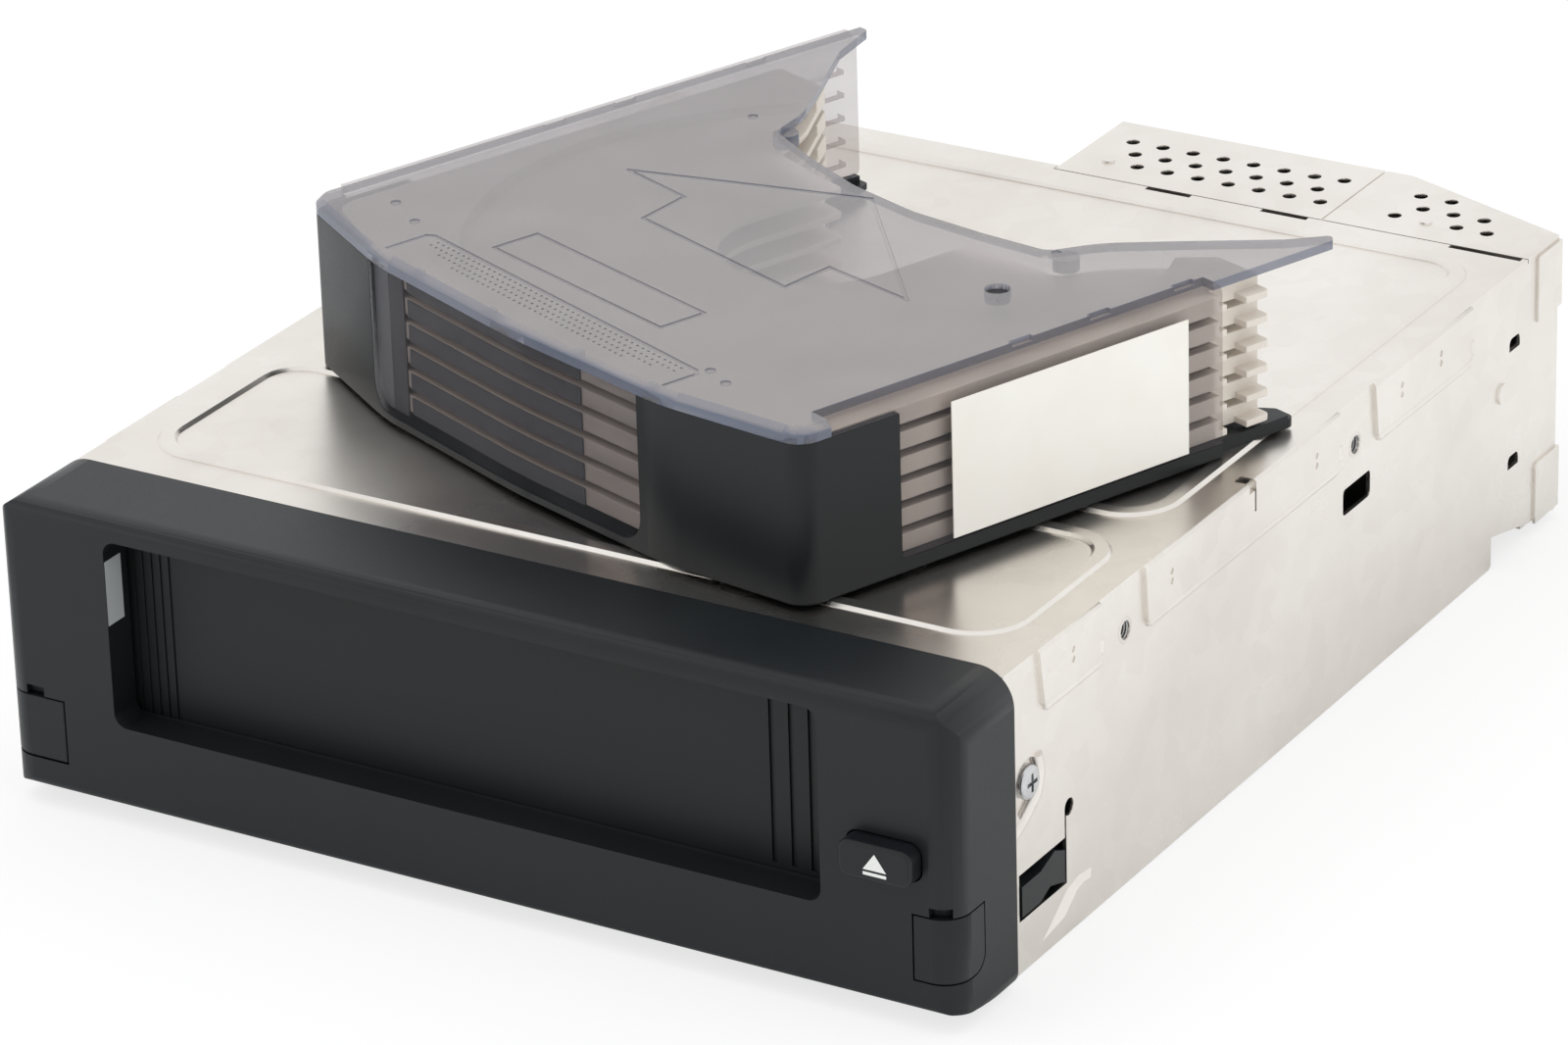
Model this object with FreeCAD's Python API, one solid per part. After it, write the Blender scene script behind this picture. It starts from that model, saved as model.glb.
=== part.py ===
"""Car six-disc changer with its magazine.

A galvanised sheet-steel chassis carries a black moulded fascia, a magazine bay and a playing deck that
rises and falls behind the bay. The magazine, with six trays, stands on the chassis cover.

Frame: +X to the right seen from the front, +Y towards the back, +Z up, in millimetres. Inside this file
y is the depth behind the fascia's flat face. save() then moves every piece so that the origin is at
mid-width on the underside, in line with the front pair of side mounting holes.
"""

import FreeCAD, Part
import math
import os

from FreeCAD import Vector

# ---------------------------------------------------------------- general values
GAP = 0.3                    # between pieces that move past each other
SLIDE_GAP = 0.2              # each side of a sliding fit
RUN_GAP = 0.05               # radial running clearance of shafts and pins
SHEET = 0.8                  # steel sheet

# ---------------------------------------------------------------- magazine
DISC_R = 60.0                # a 120 mm disc
MAG_W = 2 * DISC_R + 14.0
MAG_H = 31.0
MAG_BOW = 11.2               # the front stands out this far in the middle
MAG_SHOULDER = (MAG_W / 2 - 28.4, -9.7)
MAG_TIP = 116.0              # length from the front corners to the tips at the back
MAG_YAW = -20.98
MAG_X = -11.4
MAG_Y = 52.5
MAG_WALL = 1.5
MAG_FLOOR = 1.6
MAG_LID_T = 1.6
MAG_SKIRT = 2.9
LEG_STEP = 2.2               # the back leg of the floor stands in from the side
CORNER_LEN = 16.8            # black front corner, along the side
SIDE_RIGHT_END = 85.0
STRIP_W = 4.9                # the side windows wrap this far over the top
TRAY_COUNT = 6
TRAY_PITCH = (MAG_H - 4.3) / TRAY_COUNT
TRAY_FIRST_Z = 3.0
TRAY_T = 1.2
TRAY_RIM = TRAY_PITCH - 1.35
TRAY_BACK = 97.0
TRAY_TRAVEL = 56.0
DISC_HOME = 54.0             # disc centre behind the magazine's front corners
RIB_T = 0.9
RIB_W = 2.2
LABEL = (27.3, 77.4, 3.3, MAG_H - 3.8)
LABEL_T = 0.2
FRONT_WINDOW = (25.0 - MAG_W / 2, MAG_W / 2 - 34.0)
WINDOW_LOW = 1.8
WINDOW_CORNER = 5.0
LID_SKIRT_Z = MAG_H - 2.7
LID_SIDE_V = 3.0             # the side pieces start here behind the front corners
SPINDLE_SLOT = 17.0          # half width of a tray's slot for the turntable
LUG_REACH = 3.0              # the puller's lug on the right of each tray
LUG_V = (87.6, 91.8)

# ---------------------------------------------------------------- fascia
OPENING_W = MAG_W + 1.6
OPENING_H = MAG_H + 2.8
FASCIA_W = OPENING_W + 46.8
FASCIA_H = OPENING_H + 18.2
FASCIA_D = 19.4
FASCIA_Z = 3.8               # its lower edge above the underside
FASCIA_WALL = 1.9
FASCIA_CORNER = 6.3
FASCIA_LOW_CORNER = 2.8
FASCIA_END_ROUND = 4.8
FASCIA_EDGE_ROUND = 3.3
FASCIA_LOW_EDGE = 1.5
FASCIA_DROP = 3.4            # its lower face falls this far towards the back
OPENING_X = -1.0
OPENING_Z = 18.4
OPENING_CORNER = 2.4
RECESS_WALL = 1.5
COVER_Z = (9.0, 20.5)        # screw covers
COVER_T = 1.5
COVER_SIDE_DEEP = 9.0
COVER_ROUND = 3.0            # its lower corner at the back
COVER_RIGHT_IN = FASCIA_W / 2 - 7.8
COVER_LEFT_IN = 12.1 - FASCIA_W / 2
COVER_FIT = 0.15
PEG_R = 1.9                  # peg of a screw cover, in its hole
NOTCH_W = 3.5
NOTCH_H = 1.8
COVER_NOTCH_RIGHT = FASCIA_W / 2 - 3.1
COVER_NOTCH_LEFT = 6.4 - FASCIA_W / 2
BUTTON_X = (FASCIA_W / 2 - 19.3, FASCIA_W / 2 - 6.1)
BUTTON_Z = (26.4, 32.8)
BUTTON_PROUD = 3.4
BUTTON_CORNER = 2.0
BUTTON_TRAVEL = 1.5
BUTTON_FLANGE = 1.2
BUTTON_FLANGE_Y = (3.0, 4.2)
BUTTON_STEM_END = 9.0
BUTTON_STEM_R = 1.8
SWITCH_H = 3.0
SWITCH_PLUNGER = 0.5
BOARD_T = 1.6
ARM_Z = (10.0, 15.6)         # snap arm that holds the fascia on the right side plate
ARM_END = 38.5
ARM_WINDOW = (24.0, 39.6, 9.2, 17.5)
OPENING_LEFT = OPENING_X - OPENING_W / 2
OPENING_RIGHT = OPENING_X + OPENING_W / 2
OPENING_TOP = OPENING_Z + OPENING_H
PAD_Z = (OPENING_TOP - 15.6, OPENING_TOP - 4.0)    # light strip let into the left wall of the recess
PAD_DEEP = 4.7

# ---------------------------------------------------------------- chassis
CHASSIS_W = FASCIA_W - 4.4    # over the side plates
SIDE_X = CHASSIS_W / 2
INNER_X = SIDE_X - SHEET
CHASSIS_H = FASCIA_Z + FASCIA_H - 1.6    # underside to the top of the cover
CHASSIS_FRONT = 19.7         # depth at which the steel box starts, behind the fascia
CHASSIS_BACK = 211.2
TONGUE_FRONT = 12.0          # the side plates reach this far into the fascia
TONGUE_TOP = CHASSIS_H - 2.7
BASE_BACK = CHASSIS_BACK - 15.3    # the underside steps up behind this depth
EXT_LEFT = -5.8              # rear extension, its left side
EXT_BACK = CHASSIS_BACK + 24.4
EXT_SIDE_BACK = EXT_BACK - 13.6        # where the extension's chamfer meets the right side
EXT_CHAMFER_X = SIDE_X - 35.3
EXT_SEAM_X = EXT_CHAMFER_X - 5.4
EXT_Z = 1.8                  # underside of the extension
STEP_Z = 6.0                 # upper face of the raised back of the floor
HOLE_FRONT = 60.0            # side mounting holes, depth
HOLE_BACK = 142.0
HOLE_Z = CHASSIS_H - 8.8
TAP_R = 1.65                 # core of an M4 thread
COLLAR_R = 2.7
COLLAR_DEEP = 1.0
TAB_T = 0.7                  # cover tabs on the sides
TAB_BOTTOM = CHASSIS_H - 10.6
ROLL_R = 1.0                 # rolled lower edge of a tab
TAB_A = (30.5, 51.0)
TAB_B = (65.8, 135.0)
TAB_C = (148.3, 186.0)
BEAD_H = 0.6                 # stiffening beads pressed up in the cover
BEAD_W = 3.4
BEAD_SIDE = SIDE_X - 7.5
BEAD_FRONT_LOOP = (31.5, 72.0)
BEAD_REAR_LOOP = (82.0, 202.4)
BEAD_CORNER = 8.0
SCREW_R = 1.45
SCREW_HEAD_R = 2.9
SCREW_HEAD_H = 1.7
SIDE_SCREW = (27.0, 32.9)    # depth and height of the screw beside the fascia
ARM_X = (INNER_X - 1.4, INNER_X - GAP)    # the fascia's snap arm, just inside the side plate

# ---------------------------------------------------------------- door
DOOR_DEPTH = 8.0             # middle of the door behind the face
DOOR_T = 0.8
DOOR_TURN_R = 12.0           # the door turns the left corner on this radius
DOOR_EDGE_W = 4.1
DOOR_EDGE_RIB = 1.8
TRACK_HALF = 1.7
GROOVE_HALF = 0.65
TRACK_H = 2.8
TRACK_TOP_H = 1.1            # up to the underside of the cover
DOOR_IN_TRACK = 1.4
GRIP_FIRST = OPENING_RIGHT - 12.8    # grip grooves near the right end
GRIP_PITCH = 3.6
FLEX_FIRST = OPENING_LEFT + 0.7      # fine lines near the left end
FLEX_PITCH = 1.75

# ---------------------------------------------------------------- bay
FLOOR_T = 1.0
FLOOR_FRONT = 22.0
FLOOR_BACK = 116.0
RAIL_T = 1.5
RAIL_H = 31.0
SLIDER_X = OPENING_LEFT - 6.7    # eject slider
SLIDER_T = 1.5
SLIDER_TRAVEL = 20.0
SLIDER_PINS = (76.0, 108.0)
PUSHER_Y = 146.4
PUSHER_TIP = OPENING_LEFT + 2.8
SPRING_Y = (112.0, 138.0)
BOARD_X = (19.0 - SIDE_X, SIDE_X - 49.0)
BOARD_Y = (26.0, 112.0)
BOARD_PARTS = (              # x, depth, width, length and height of each block
    (-40, 50, 14, 14, 1.6), (-14, 48, 12, 18, 1.6), (8, 56, 10, 10, 1.4), (-34, 82, 7, 10, 1.6),
    (-58, 60, 8, 5, 1.4), (-8, 84, 9, 6, 1.5), (14, 84, 6, 4, 3.4), (-30, 102, 24, 6, 6.0),
    (2, 102, 16, 6, 6.0),
)
BOARD_CANS = ((-54, 44, 4, 8.0), (-54, 80, 3.15, 7.0), (28, 48, 3.15, 7.0), (29, 70, 4, 9.0),
              (26, 96, 2.5, 5.0))
RAIL_BACK_RIGHT = 112.0      # the puller hook works behind the right rail
RAIL_BACK_LEFT = 146.0

# ---------------------------------------------------------------- deck and its drive
SPINDLE_Y = 140.0
DECK_Z = 17.0                # underside of the deck plate at rest
DECK_T = 1.2
DECK_FRONT = 147.6
DECK_BACK = 206.0
DECK_HALF = INNER_X - 7.6
DECK_TRAVEL = TRAY_PITCH * (TRAY_COUNT - 1)
DISC_Z = 23.2                # disc plane with the deck down
PIN_R = 1.5
PIN_Z = 16.0
PIN_Y = (153.0, 181.0)
PIN_END = INNER_X - 4.8
CAM_X = INNER_X - 6.7
CAM_T = 1.0
CAM_RUN = 24.0
CAM_TOP = CHASSIS_H - 10.5
CAM_FRONT = 148.5
CAM_BACK = 209.0
RAIL_GROOVE_Z = CHASSIS_H - 11.6
CAM_RAIL_TOP = CHASSIS_H - 7.7
CAM_RAIL_FRONT = 137.0
SHAFT_Y = 165.0
SHAFT_Z = 7.0
SHAFT_R = 1.5
SHAFT_HALF = INNER_X - 4.2
PINION_TEETH = 16
RACK_MODULE = 0.6
GEAR_MODULE = 0.5
GEAR_TEETH = 21
MOTOR_TEETH = 7
GEAR_W = 3.0
GEAR_X = CAM_X - 21.5
TURNTABLE_R = 13.0
ROD_R = 1.0
ROD_Z = 20.0
ROD_X = (-20.0, 19.0)
SLED_Y = 163.0
SLED_LEN = 10.0
SLED_TRAVEL = 32.0
SCREW_X = 24.5
SCREW_Z = 13.5
LEAD_R = 1.4
LEAD_PITCH = 3.0
JOURNAL_R = 0.9
EAR_HALF = 2.1
MOTOR_SHAFT_R = 0.75
ARM_PIVOT = (203.4, 27.2)
ARM_PIVOT_R = 1.2
CLAMP_R = 12.0
CLAMP_LOW = 24.5
CLAMP_STEM_R = 1.3
ARM_Z_LOW = 26.3             # underside of the clamp arm
ARM_T = 1.0
PULLER_X = OPENING_RIGHT + 4.7
PULLER_W = 3.0
PULLER_Z = (21.0, 24.0)
PULLER_GEAR_Y = 150.0
PULLER_TEETH = 12
HOOK_TIP = OPENING_RIGHT - 4.8
HOOK_Y = (118.2, 121.2)

AXES = {"X": Vector(1, 0, 0), "Y": Vector(0, 1, 0), "Z": Vector(0, 0, 1)}
COVER_UNDER = CHASSIS_H - SHEET


# ================================================================ helpers
def block(x0, x1, y0, y1, z0, z1):
    """Box between two opposite corners."""
    return Part.makeBox(x1 - x0, y1 - y0, z1 - z0, Vector(x0, y0, z0))


def rod(axis, x, y, z, radius, length):
    """Round bar that starts at x, y, z and runs along an axis."""
    return Part.makeCylinder(radius, length, Vector(x, y, z), AXES[axis])


def join(shapes):
    """Fuses solids that touch or overlap into one solid."""
    first = shapes[0]
    rest = shapes[1:]
    if not rest:
        return first
    return first.fuse(rest).removeSplitter()


def group(shapes):
    """Separate solids that share one node."""
    return Part.makeCompound(shapes)


def cut(shape, tools):
    """Takes several tools away from a shape."""
    return shape.cut(Part.makeCompound(tools))


def mirror_x(shape):
    """The same shape on the other side of the middle plane."""
    return shape.mirror(Vector(0, 0, 0), Vector(1, 0, 0))


def corner_arc(before, here, after, radius):
    """Entry, middle and exit points of the arc that rounds one corner of an outline."""
    to_before = ((before[0] - here[0]), (before[1] - here[1]))
    to_after = ((after[0] - here[0]), (after[1] - here[1]))
    long_b = math.hypot(*to_before)
    long_a = math.hypot(*to_after)
    ub = (to_before[0] / long_b, to_before[1] / long_b)
    ua = (to_after[0] / long_a, to_after[1] / long_a)
    half = math.acos(max(-1.0, min(1.0, ub[0] * ua[0] + ub[1] * ua[1]))) / 2
    reach = radius / math.tan(half)
    bisector = (ub[0] + ua[0], ub[1] + ua[1])
    size = math.hypot(*bisector)
    to_middle = radius / math.sin(half) - radius
    return (
        (here[0] + ub[0] * reach, here[1] + ub[1] * reach),
        (here[0] + bisector[0] / size * to_middle, here[1] + bisector[1] / size * to_middle),
        (here[0] + ua[0] * reach, here[1] + ua[1] * reach),
    )


def outline_wire(corners, axis, level):
    """Closed wire through (a, b) or (a, b, radius) corners, in the plane across an axis."""
    place = {
        "X": lambda p: Vector(level, p[0], p[1]),
        "Y": lambda p: Vector(p[0], level, p[1]),
        "Z": lambda p: Vector(p[0], p[1], level),
    }[axis]
    count = len(corners)
    turns = []
    for i, here in enumerate(corners):
        radius = here[2] if len(here) > 2 else 0
        if radius > 0:
            turns.append(corner_arc(corners[i - 1], here, corners[(i + 1) % count], radius))
        else:
            turns.append((here, None, here))
    edges = []
    for i, (entry, middle, leave) in enumerate(turns):
        if middle is not None:
            edges.append(Part.Arc(place(entry), place(middle), place(leave)).toShape())
        following = turns[(i + 1) % count][0]
        if math.hypot(following[0] - leave[0], following[1] - leave[1]) > 1e-6:
            edges.append(Part.LineSegment(place(leave), place(following)).toShape())
    return Part.Wire(edges)


def prism(corners, axis, start, length):
    """Extrudes an outline along an axis. The outline is (y, z) for X, (x, z) for Y and (x, y) for Z."""
    return Part.Face(outline_wire(corners, axis, start)).extrude(AXES[axis] * length)


def rectangle(a0, a1, b0, b1, radius=0.0):
    """Corners of a rectangle with equal corner radii."""
    return [(a0, b0, radius), (a1, b0, radius), (a1, b1, radius), (a0, b1, radius)]


def loop_bead(x0, x1, y0, y1):
    """Closed stiffening bead on the cover, with its upper edges rounded."""
    half = BEAD_W / 2
    outer = prism(rectangle(x0 - half, x1 + half, y0 - half, y1 + half, BEAD_CORNER + half), "Z",
                  CHASSIS_H - SHEET / 2, SHEET / 2 + BEAD_H)
    inner = prism(rectangle(x0 + half, x1 - half, y0 + half, y1 - half, BEAD_CORNER - half), "Z",
                  CHASSIS_H - SHEET, SHEET + 2 * BEAD_H)
    ring = outer.cut(inner)
    top = CHASSIS_H + BEAD_H
    upper = [e for e in ring.Edges if all(abs(v.Z - top) < 1e-6 for v in e.Vertexes)]
    return ring.makeChamfer(0.9 * BEAD_H, upper)


def gear(axis, x, y, z, teeth, module, width, bore, phase):
    """Spur gear with straight-sided teeth and generous backlash. A tooth points at the phase angle."""
    pitch_r = module * teeth / 2
    root = pitch_r - 1.15 * module
    tip = pitch_r + 0.8 * module
    step = 2 * math.pi / teeth
    points = []
    for i in range(teeth):
        middle = phase + i * step
        for share, radius in ((-0.27, root), (-0.11, tip), (0.11, tip), (0.27, root)):
            turn = middle + share * step
            points.append((radius * math.cos(turn), radius * math.sin(turn)))
    solid = prism(points, axis, 0, width)
    if bore > 0:
        solid = solid.cut(rod(axis, 0, 0, 0, bore, width))
    solid.translate(Vector(x, y, z))
    return solid


def rack_teeth(count, module, first):
    """Corners (along, height) of rack teeth over a pitch line at height 0, spaces at first + n pitches."""
    pitch = math.pi * module
    points = []
    for i in range(count):
        middle = first + (i + 0.5) * pitch
        for share, height in ((-0.27, -1.15), (-0.11, 0.8), (0.11, 0.8), (0.27, -1.15)):
            points.append((middle + share * pitch, height * module))
    return points


def save(name, shape):
    """Moves a piece into the row frame and writes its STEP file."""
    solids = shape.Solids
    placed = [s.translated(Vector(0, -HOLE_FRONT, 0)) for s in solids]
    result = placed[0] if len(placed) == 1 else Part.makeCompound(placed)
    result.exportStep("parts/" + name + ".step")
    valid = all(s.isValid() for s in placed)
    print(f"{name}: {len(placed)} solid(s), {sum(s.Volume for s in placed):.1f} mm3, valid {valid}")


# ================================================================ fascia
def bezel_block(inset, back=FASCIA_D):
    """The fascia's outer form, with its lower face falling to the back and every side moved in by inset."""
    half = FASCIA_W / 2 - inset
    high = FASCIA_Z + FASCIA_H - inset
    low = FASCIA_Z + inset - FASCIA_DROP * inset / FASCIA_D
    low_back = FASCIA_Z + inset - FASCIA_DROP * back / FASCIA_D
    corner = max(FASCIA_CORNER - inset, 0.5)
    low_corner = max(FASCIA_LOW_CORNER - inset, 0.5)
    end_round = max(FASCIA_END_ROUND - inset, 0.5)
    edge_round = max(FASCIA_EDGE_ROUND - inset, 0.5)
    low_edge = max(FASCIA_LOW_EDGE - inset, 0.5)
    front = prism([(-half, low_back, low_corner), (half, low_back, low_corner), (half, high, corner),
                   (-half, high, corner)], "Y", inset, back - inset)
    plan = prism([(-half, inset, end_round), (half, inset, end_round), (half, back), (-half, back)],
                 "Z", low_back, high - low_back)
    side = prism([(inset, low, low_edge), (back, low_back), (back, high), (inset, high, edge_round)],
                 "X", -half, 2 * half)
    return front.common(plan).common(side)


def opening_block(grow, y0, y1):
    """The rounded door opening, grown on every side, between two depths."""
    outline = rectangle(OPENING_LEFT - grow, OPENING_RIGHT + grow, OPENING_Z - grow, OPENING_TOP + grow,
                        OPENING_CORNER + grow)
    return prism(outline, "Y", y0, y1 - y0)


def cover_zone(inner, grow):
    """Region of a screw cover that wraps round the fascia's end, from its inner edge outwards."""
    side = 1 if inner > 0 else -1
    end = side * (FASCIA_W / 2 + 5)
    start = inner - side * grow
    deep = COVER_SIDE_DEEP + grow
    low = COVER_Z[0] - grow
    high = COVER_Z[1] + grow
    outline = [(-5, low), (deep, low, COVER_ROUND + grow), (deep, high), (-5, high)]
    return prism(outline, "X", min(start, end), abs(end - start))


def button_block(grow, y0, y1):
    """The eject button's rounded outline, grown on every side, between two depths."""
    outline = rectangle(BUTTON_X[0] - grow, BUTTON_X[1] + grow, BUTTON_Z[0] - grow, BUTTON_Z[1] + grow,
                        BUTTON_CORNER + grow)
    return prism(outline, "Y", y0, y1 - y0)


def recess_back():
    """Depth at which the recess walls stop, against the door tracks."""
    return DOOR_DEPTH - TRACK_HALF


def switch_board_y():
    """Front face of the small board behind the button."""
    return BUTTON_STEM_END + BUTTON_TRAVEL + GAP + SWITCH_PLUNGER + SWITCH_H


def board_pegs():
    """Centres of the two pegs that carry the button's board."""
    return [(BUTTON_X[0] - 0.8, BUTTON_Z[1] + 3.4), (BUTTON_X[1] + 0.8, BUTTON_Z[0] - 3.4)]


def peg_centre(inner):
    """Centre of a screw cover's peg, from the cover's inner edge."""
    return inner + math.copysign(2.8, inner), sum(COVER_Z) / 2


def make_fascia():
    """Black moulded front: a shell with the door recess, button sleeve, cover seats and a snap arm."""
    body = bezel_block(0).cut(bezel_block(FASCIA_WALL, FASCIA_D + 1))
    recess = opening_block(RECESS_WALL, FASCIA_WALL / 2, recess_back())
    sleeve = button_block(GAP + 1.2, FASCIA_WALL / 2, BUTTON_FLANGE_Y[0] - GAP)
    added = [recess, sleeve]
    seat_in = COVER_T + COVER_FIT
    for inner in (COVER_RIGHT_IN, COVER_LEFT_IN):
        seat = bezel_block(seat_in).cut(bezel_block(seat_in + 1.5, FASCIA_D + 1))
        added.append(seat.common(cover_zone(inner, 1.2)))
    for x, z in board_pegs():
        added.append(rod("Y", x, FASCIA_WALL / 2, z, 1.6, switch_board_y() - FASCIA_WALL / 2))
    for side in (-1, 1):
        near = side * SIDE_X
        far = side * (FASCIA_W / 2 - FASCIA_WALL / 2)
        added.append(block(min(near, far), max(near, far), 13.0, 17.5, 24.0, 36.0))
    body = join([body] + added)
    tools = [opening_block(0, -1, FASCIA_D), button_block(GAP, -1, BUTTON_FLANGE_Y[0])]
    for inner, notch in ((COVER_RIGHT_IN, COVER_NOTCH_RIGHT), (COVER_LEFT_IN, COVER_NOTCH_LEFT)):
        pocket = bezel_block(-1).cut(bezel_block(seat_in, FASCIA_D + 1))
        tools.append(pocket.common(cover_zone(inner, COVER_FIT)))
        pry = bezel_block(-1).cut(bezel_block(1.2, FASCIA_D + 1))
        tools.append(pry.common(block(notch - NOTCH_W / 2, notch + NOTCH_W / 2, -2, 5,
                                      COVER_Z[1] - 0.5, COVER_Z[1] + NOTCH_H)))
        x, z = peg_centre(inner)
        tools.append(rod("Y", x, -1, z, PEG_R + RUN_GAP, 6))
    pad_x = OPENING_LEFT - 0.8
    tools.append(block(pad_x, OPENING_LEFT + 1, 0.2, PAD_DEEP, PAD_Z[0], PAD_Z[1]))
    return join([cut(body, tools), make_snap_arm()])


def make_snap_arm():
    """Springy arm inside the right side plate; its tab clicks outwards into the plate's window."""
    low = ARM_Z[0]
    high = ARM_Z[1]
    wave = [(30.3, low), (33.6, low + 1.4), (ARM_END, low), (ARM_END, high),
            (35.2, high + 1.4), (30.4, high - 0.2)]
    front = COVER_SIDE_DEEP + COVER_FIT + 0.5
    root = block(ARM_X[0], FASCIA_W / 2 - FASCIA_WALL / 2, front, TONGUE_FRONT - GAP, low, high - 0.2)
    arm = prism([(front, low)] + wave + [(front, high - 0.2)], "X", ARM_X[0], ARM_X[1] - ARM_X[0])
    start = ARM_WINDOW[0] + 0.4
    tab = prism([(start, low)] + wave + [(start, high - 0.2)], "X", ARM_X[0], SIDE_X + 0.3 - ARM_X[0])
    return join([root, arm, tab])


def make_recess_pad():
    """Light strip let into the left wall of the door recess."""
    return block(OPENING_LEFT - 0.8, OPENING_LEFT, 0.2, PAD_DEEP, PAD_Z[0], PAD_Z[1])


def make_screw_cover(inner):
    """Plug-in cover that follows the fascia's rounded end, with a peg for its hole."""
    shell = bezel_block(0).cut(bezel_block(COVER_T, FASCIA_D + 1)).common(cover_zone(inner, -COVER_FIT))
    x, z = peg_centre(inner)
    peg = rod("Y", x, 0, z, PEG_R, 4.5).common(bezel_block(0.7))
    return join([shell, peg])


def make_eject_button():
    """Push button with a rounded cap, a retaining flange and a stem towards its switch."""
    cap = button_block(0, -BUTTON_PROUD, BUTTON_FLANGE_Y[0])
    rim = [e for e in cap.Edges if all(abs(v.Y + BUTTON_PROUD) < 1e-6 for v in e.Vertexes)]
    cap = cap.makeFillet(0.7, rim)
    flange = button_block(BUTTON_FLANGE, BUTTON_FLANGE_Y[0], BUTTON_FLANGE_Y[1])
    stem = rod("Y", sum(BUTTON_X) / 2, BUTTON_FLANGE_Y[0], sum(BUTTON_Z) / 2, BUTTON_STEM_R,
               BUTTON_STEM_END - BUTTON_FLANGE_Y[0])
    return join([cap, flange, stem])


def make_eject_switch():
    """Key switch on its small board, carried by the fascia's two pegs."""
    front = switch_board_y()
    x = sum(BUTTON_X) / 2
    z = sum(BUTTON_Z) / 2
    board = block(BUTTON_X[0] - 2.6, BUTTON_X[1] + 2.6, front, front + BOARD_T,
                  BUTTON_Z[0] - 5.6, BUTTON_Z[1] + 5.6)
    switch = block(x - 3, x + 3, front - SWITCH_H, front, z - 3, z + 3)
    plunger = rod("Y", x, front - SWITCH_H - SWITCH_PLUNGER, z, 1.4, SWITCH_PLUNGER)
    return group([board, join([switch, plunger])])


# ================================================================ door
def door_path_band(half, z0, z1):
    """Band of the given half width along the door's path: across the front and back along the left side."""
    turn_x = -INNER_X + TRACK_HALF
    end_x = OPENING_RIGHT + 0.8
    end_y = CAM_RAIL_FRONT - 1.0
    corners = [
        (end_x, DOOR_DEPTH - half),
        (end_x, DOOR_DEPTH + half),
        (turn_x + half, DOOR_DEPTH + half, DOOR_TURN_R - half),
        (turn_x + half, end_y),
        (turn_x - half, end_y),
        (turn_x - half, DOOR_DEPTH - half, DOOR_TURN_R + half),
    ]
    return prism(corners, "Z", z0, z1 - z0)


def door_low():
    """Lower edge of the door, in the lower track."""
    return OPENING_Z - 0.1 - DOOR_IN_TRACK


def door_high():
    """Upper edge of the door, in the upper track."""
    return OPENING_TOP + 0.1 + TRACK_TOP_H / 2 - 0.1


def make_door_tracks():
    """Upper and lower grooved tracks that lead the door round the left corner."""
    lower = door_path_band(TRACK_HALF, OPENING_Z - 0.1 - TRACK_H, OPENING_Z - 0.1)
    lower = lower.cut(door_path_band(GROOVE_HALF, door_low() - SLIDE_GAP, OPENING_Z + 1))
    upper = door_path_band(TRACK_HALF, OPENING_TOP + 0.1, OPENING_TOP + 0.1 + TRACK_TOP_H)
    upper = upper.cut(door_path_band(GROOVE_HALF, OPENING_TOP - 1, door_high() + SLIDE_GAP))
    shell = block(-FASCIA_W / 2, FASCIA_W / 2, 0, FASCIA_D + GAP, OPENING_TOP - 1, FASCIA_Z + FASCIA_H)
    upper = upper.cut(shell.cut(bezel_block(FASCIA_WALL + 0.1, FASCIA_D + 1)))
    return group([lower, upper])


def door_edge_left():
    """Left side of the door's stiff leading edge."""
    return OPENING_RIGHT + 0.4 - DOOR_EDGE_W


def make_door_edge():
    """Stiff leading edge of the door, with a rib behind it."""
    x0 = door_edge_left()
    plate = block(x0, x0 + DOOR_EDGE_W, DOOR_DEPTH - DOOR_T / 2, DOOR_DEPTH + DOOR_T / 2,
                  door_low(), door_high())
    rib = block(x0, x0 + DOOR_EDGE_W, DOOR_DEPTH, DOOR_DEPTH + DOOR_T / 2 + DOOR_EDGE_RIB,
                OPENING_Z + GAP, OPENING_TOP - GAP)
    return join([plate, rib])


def make_door_sheet():
    """Flexible door sheet with grip grooves at the right and fine flexing lines at the left."""
    front = DOOR_DEPTH - DOOR_T / 2
    left = OPENING_LEFT - 4.0
    sheet = block(left, door_edge_left() - 0.02, front, front + DOOR_T, door_low(), door_high())
    tools = []
    for i in range(3):
        x = GRIP_FIRST + i * GRIP_PITCH
        tools.append(block(x - 0.5, x + 0.5, front - 1, front + 0.45, OPENING_Z + 0.8, OPENING_TOP - 0.8))
    for i in range(5):
        x = FLEX_FIRST + i * FLEX_PITCH
        tools.append(block(x - 0.25, x + 0.25, front - 1, front + 0.3, OPENING_Z - 1, OPENING_TOP + 1))
    return cut(sheet, tools)


# ================================================================ chassis
def side_outline():
    """(depth, height) corners of the right side plate."""
    return [
        (TONGUE_FRONT, FASCIA_Z + 4.5, 1), (CHASSIS_FRONT, FASCIA_Z + 4.5), (CHASSIS_FRONT, 0),
        (BASE_BACK, 0, 1), (BASE_BACK, 6.0), (211.0, 2.6), (EXT_SIDE_BACK, 1.0),
        (EXT_SIDE_BACK, COVER_UNDER), (CHASSIS_FRONT, COVER_UNDER), (CHASSIS_FRONT, TONGUE_TOP),
        (TONGUE_FRONT, TONGUE_TOP, 1),
    ]


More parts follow.
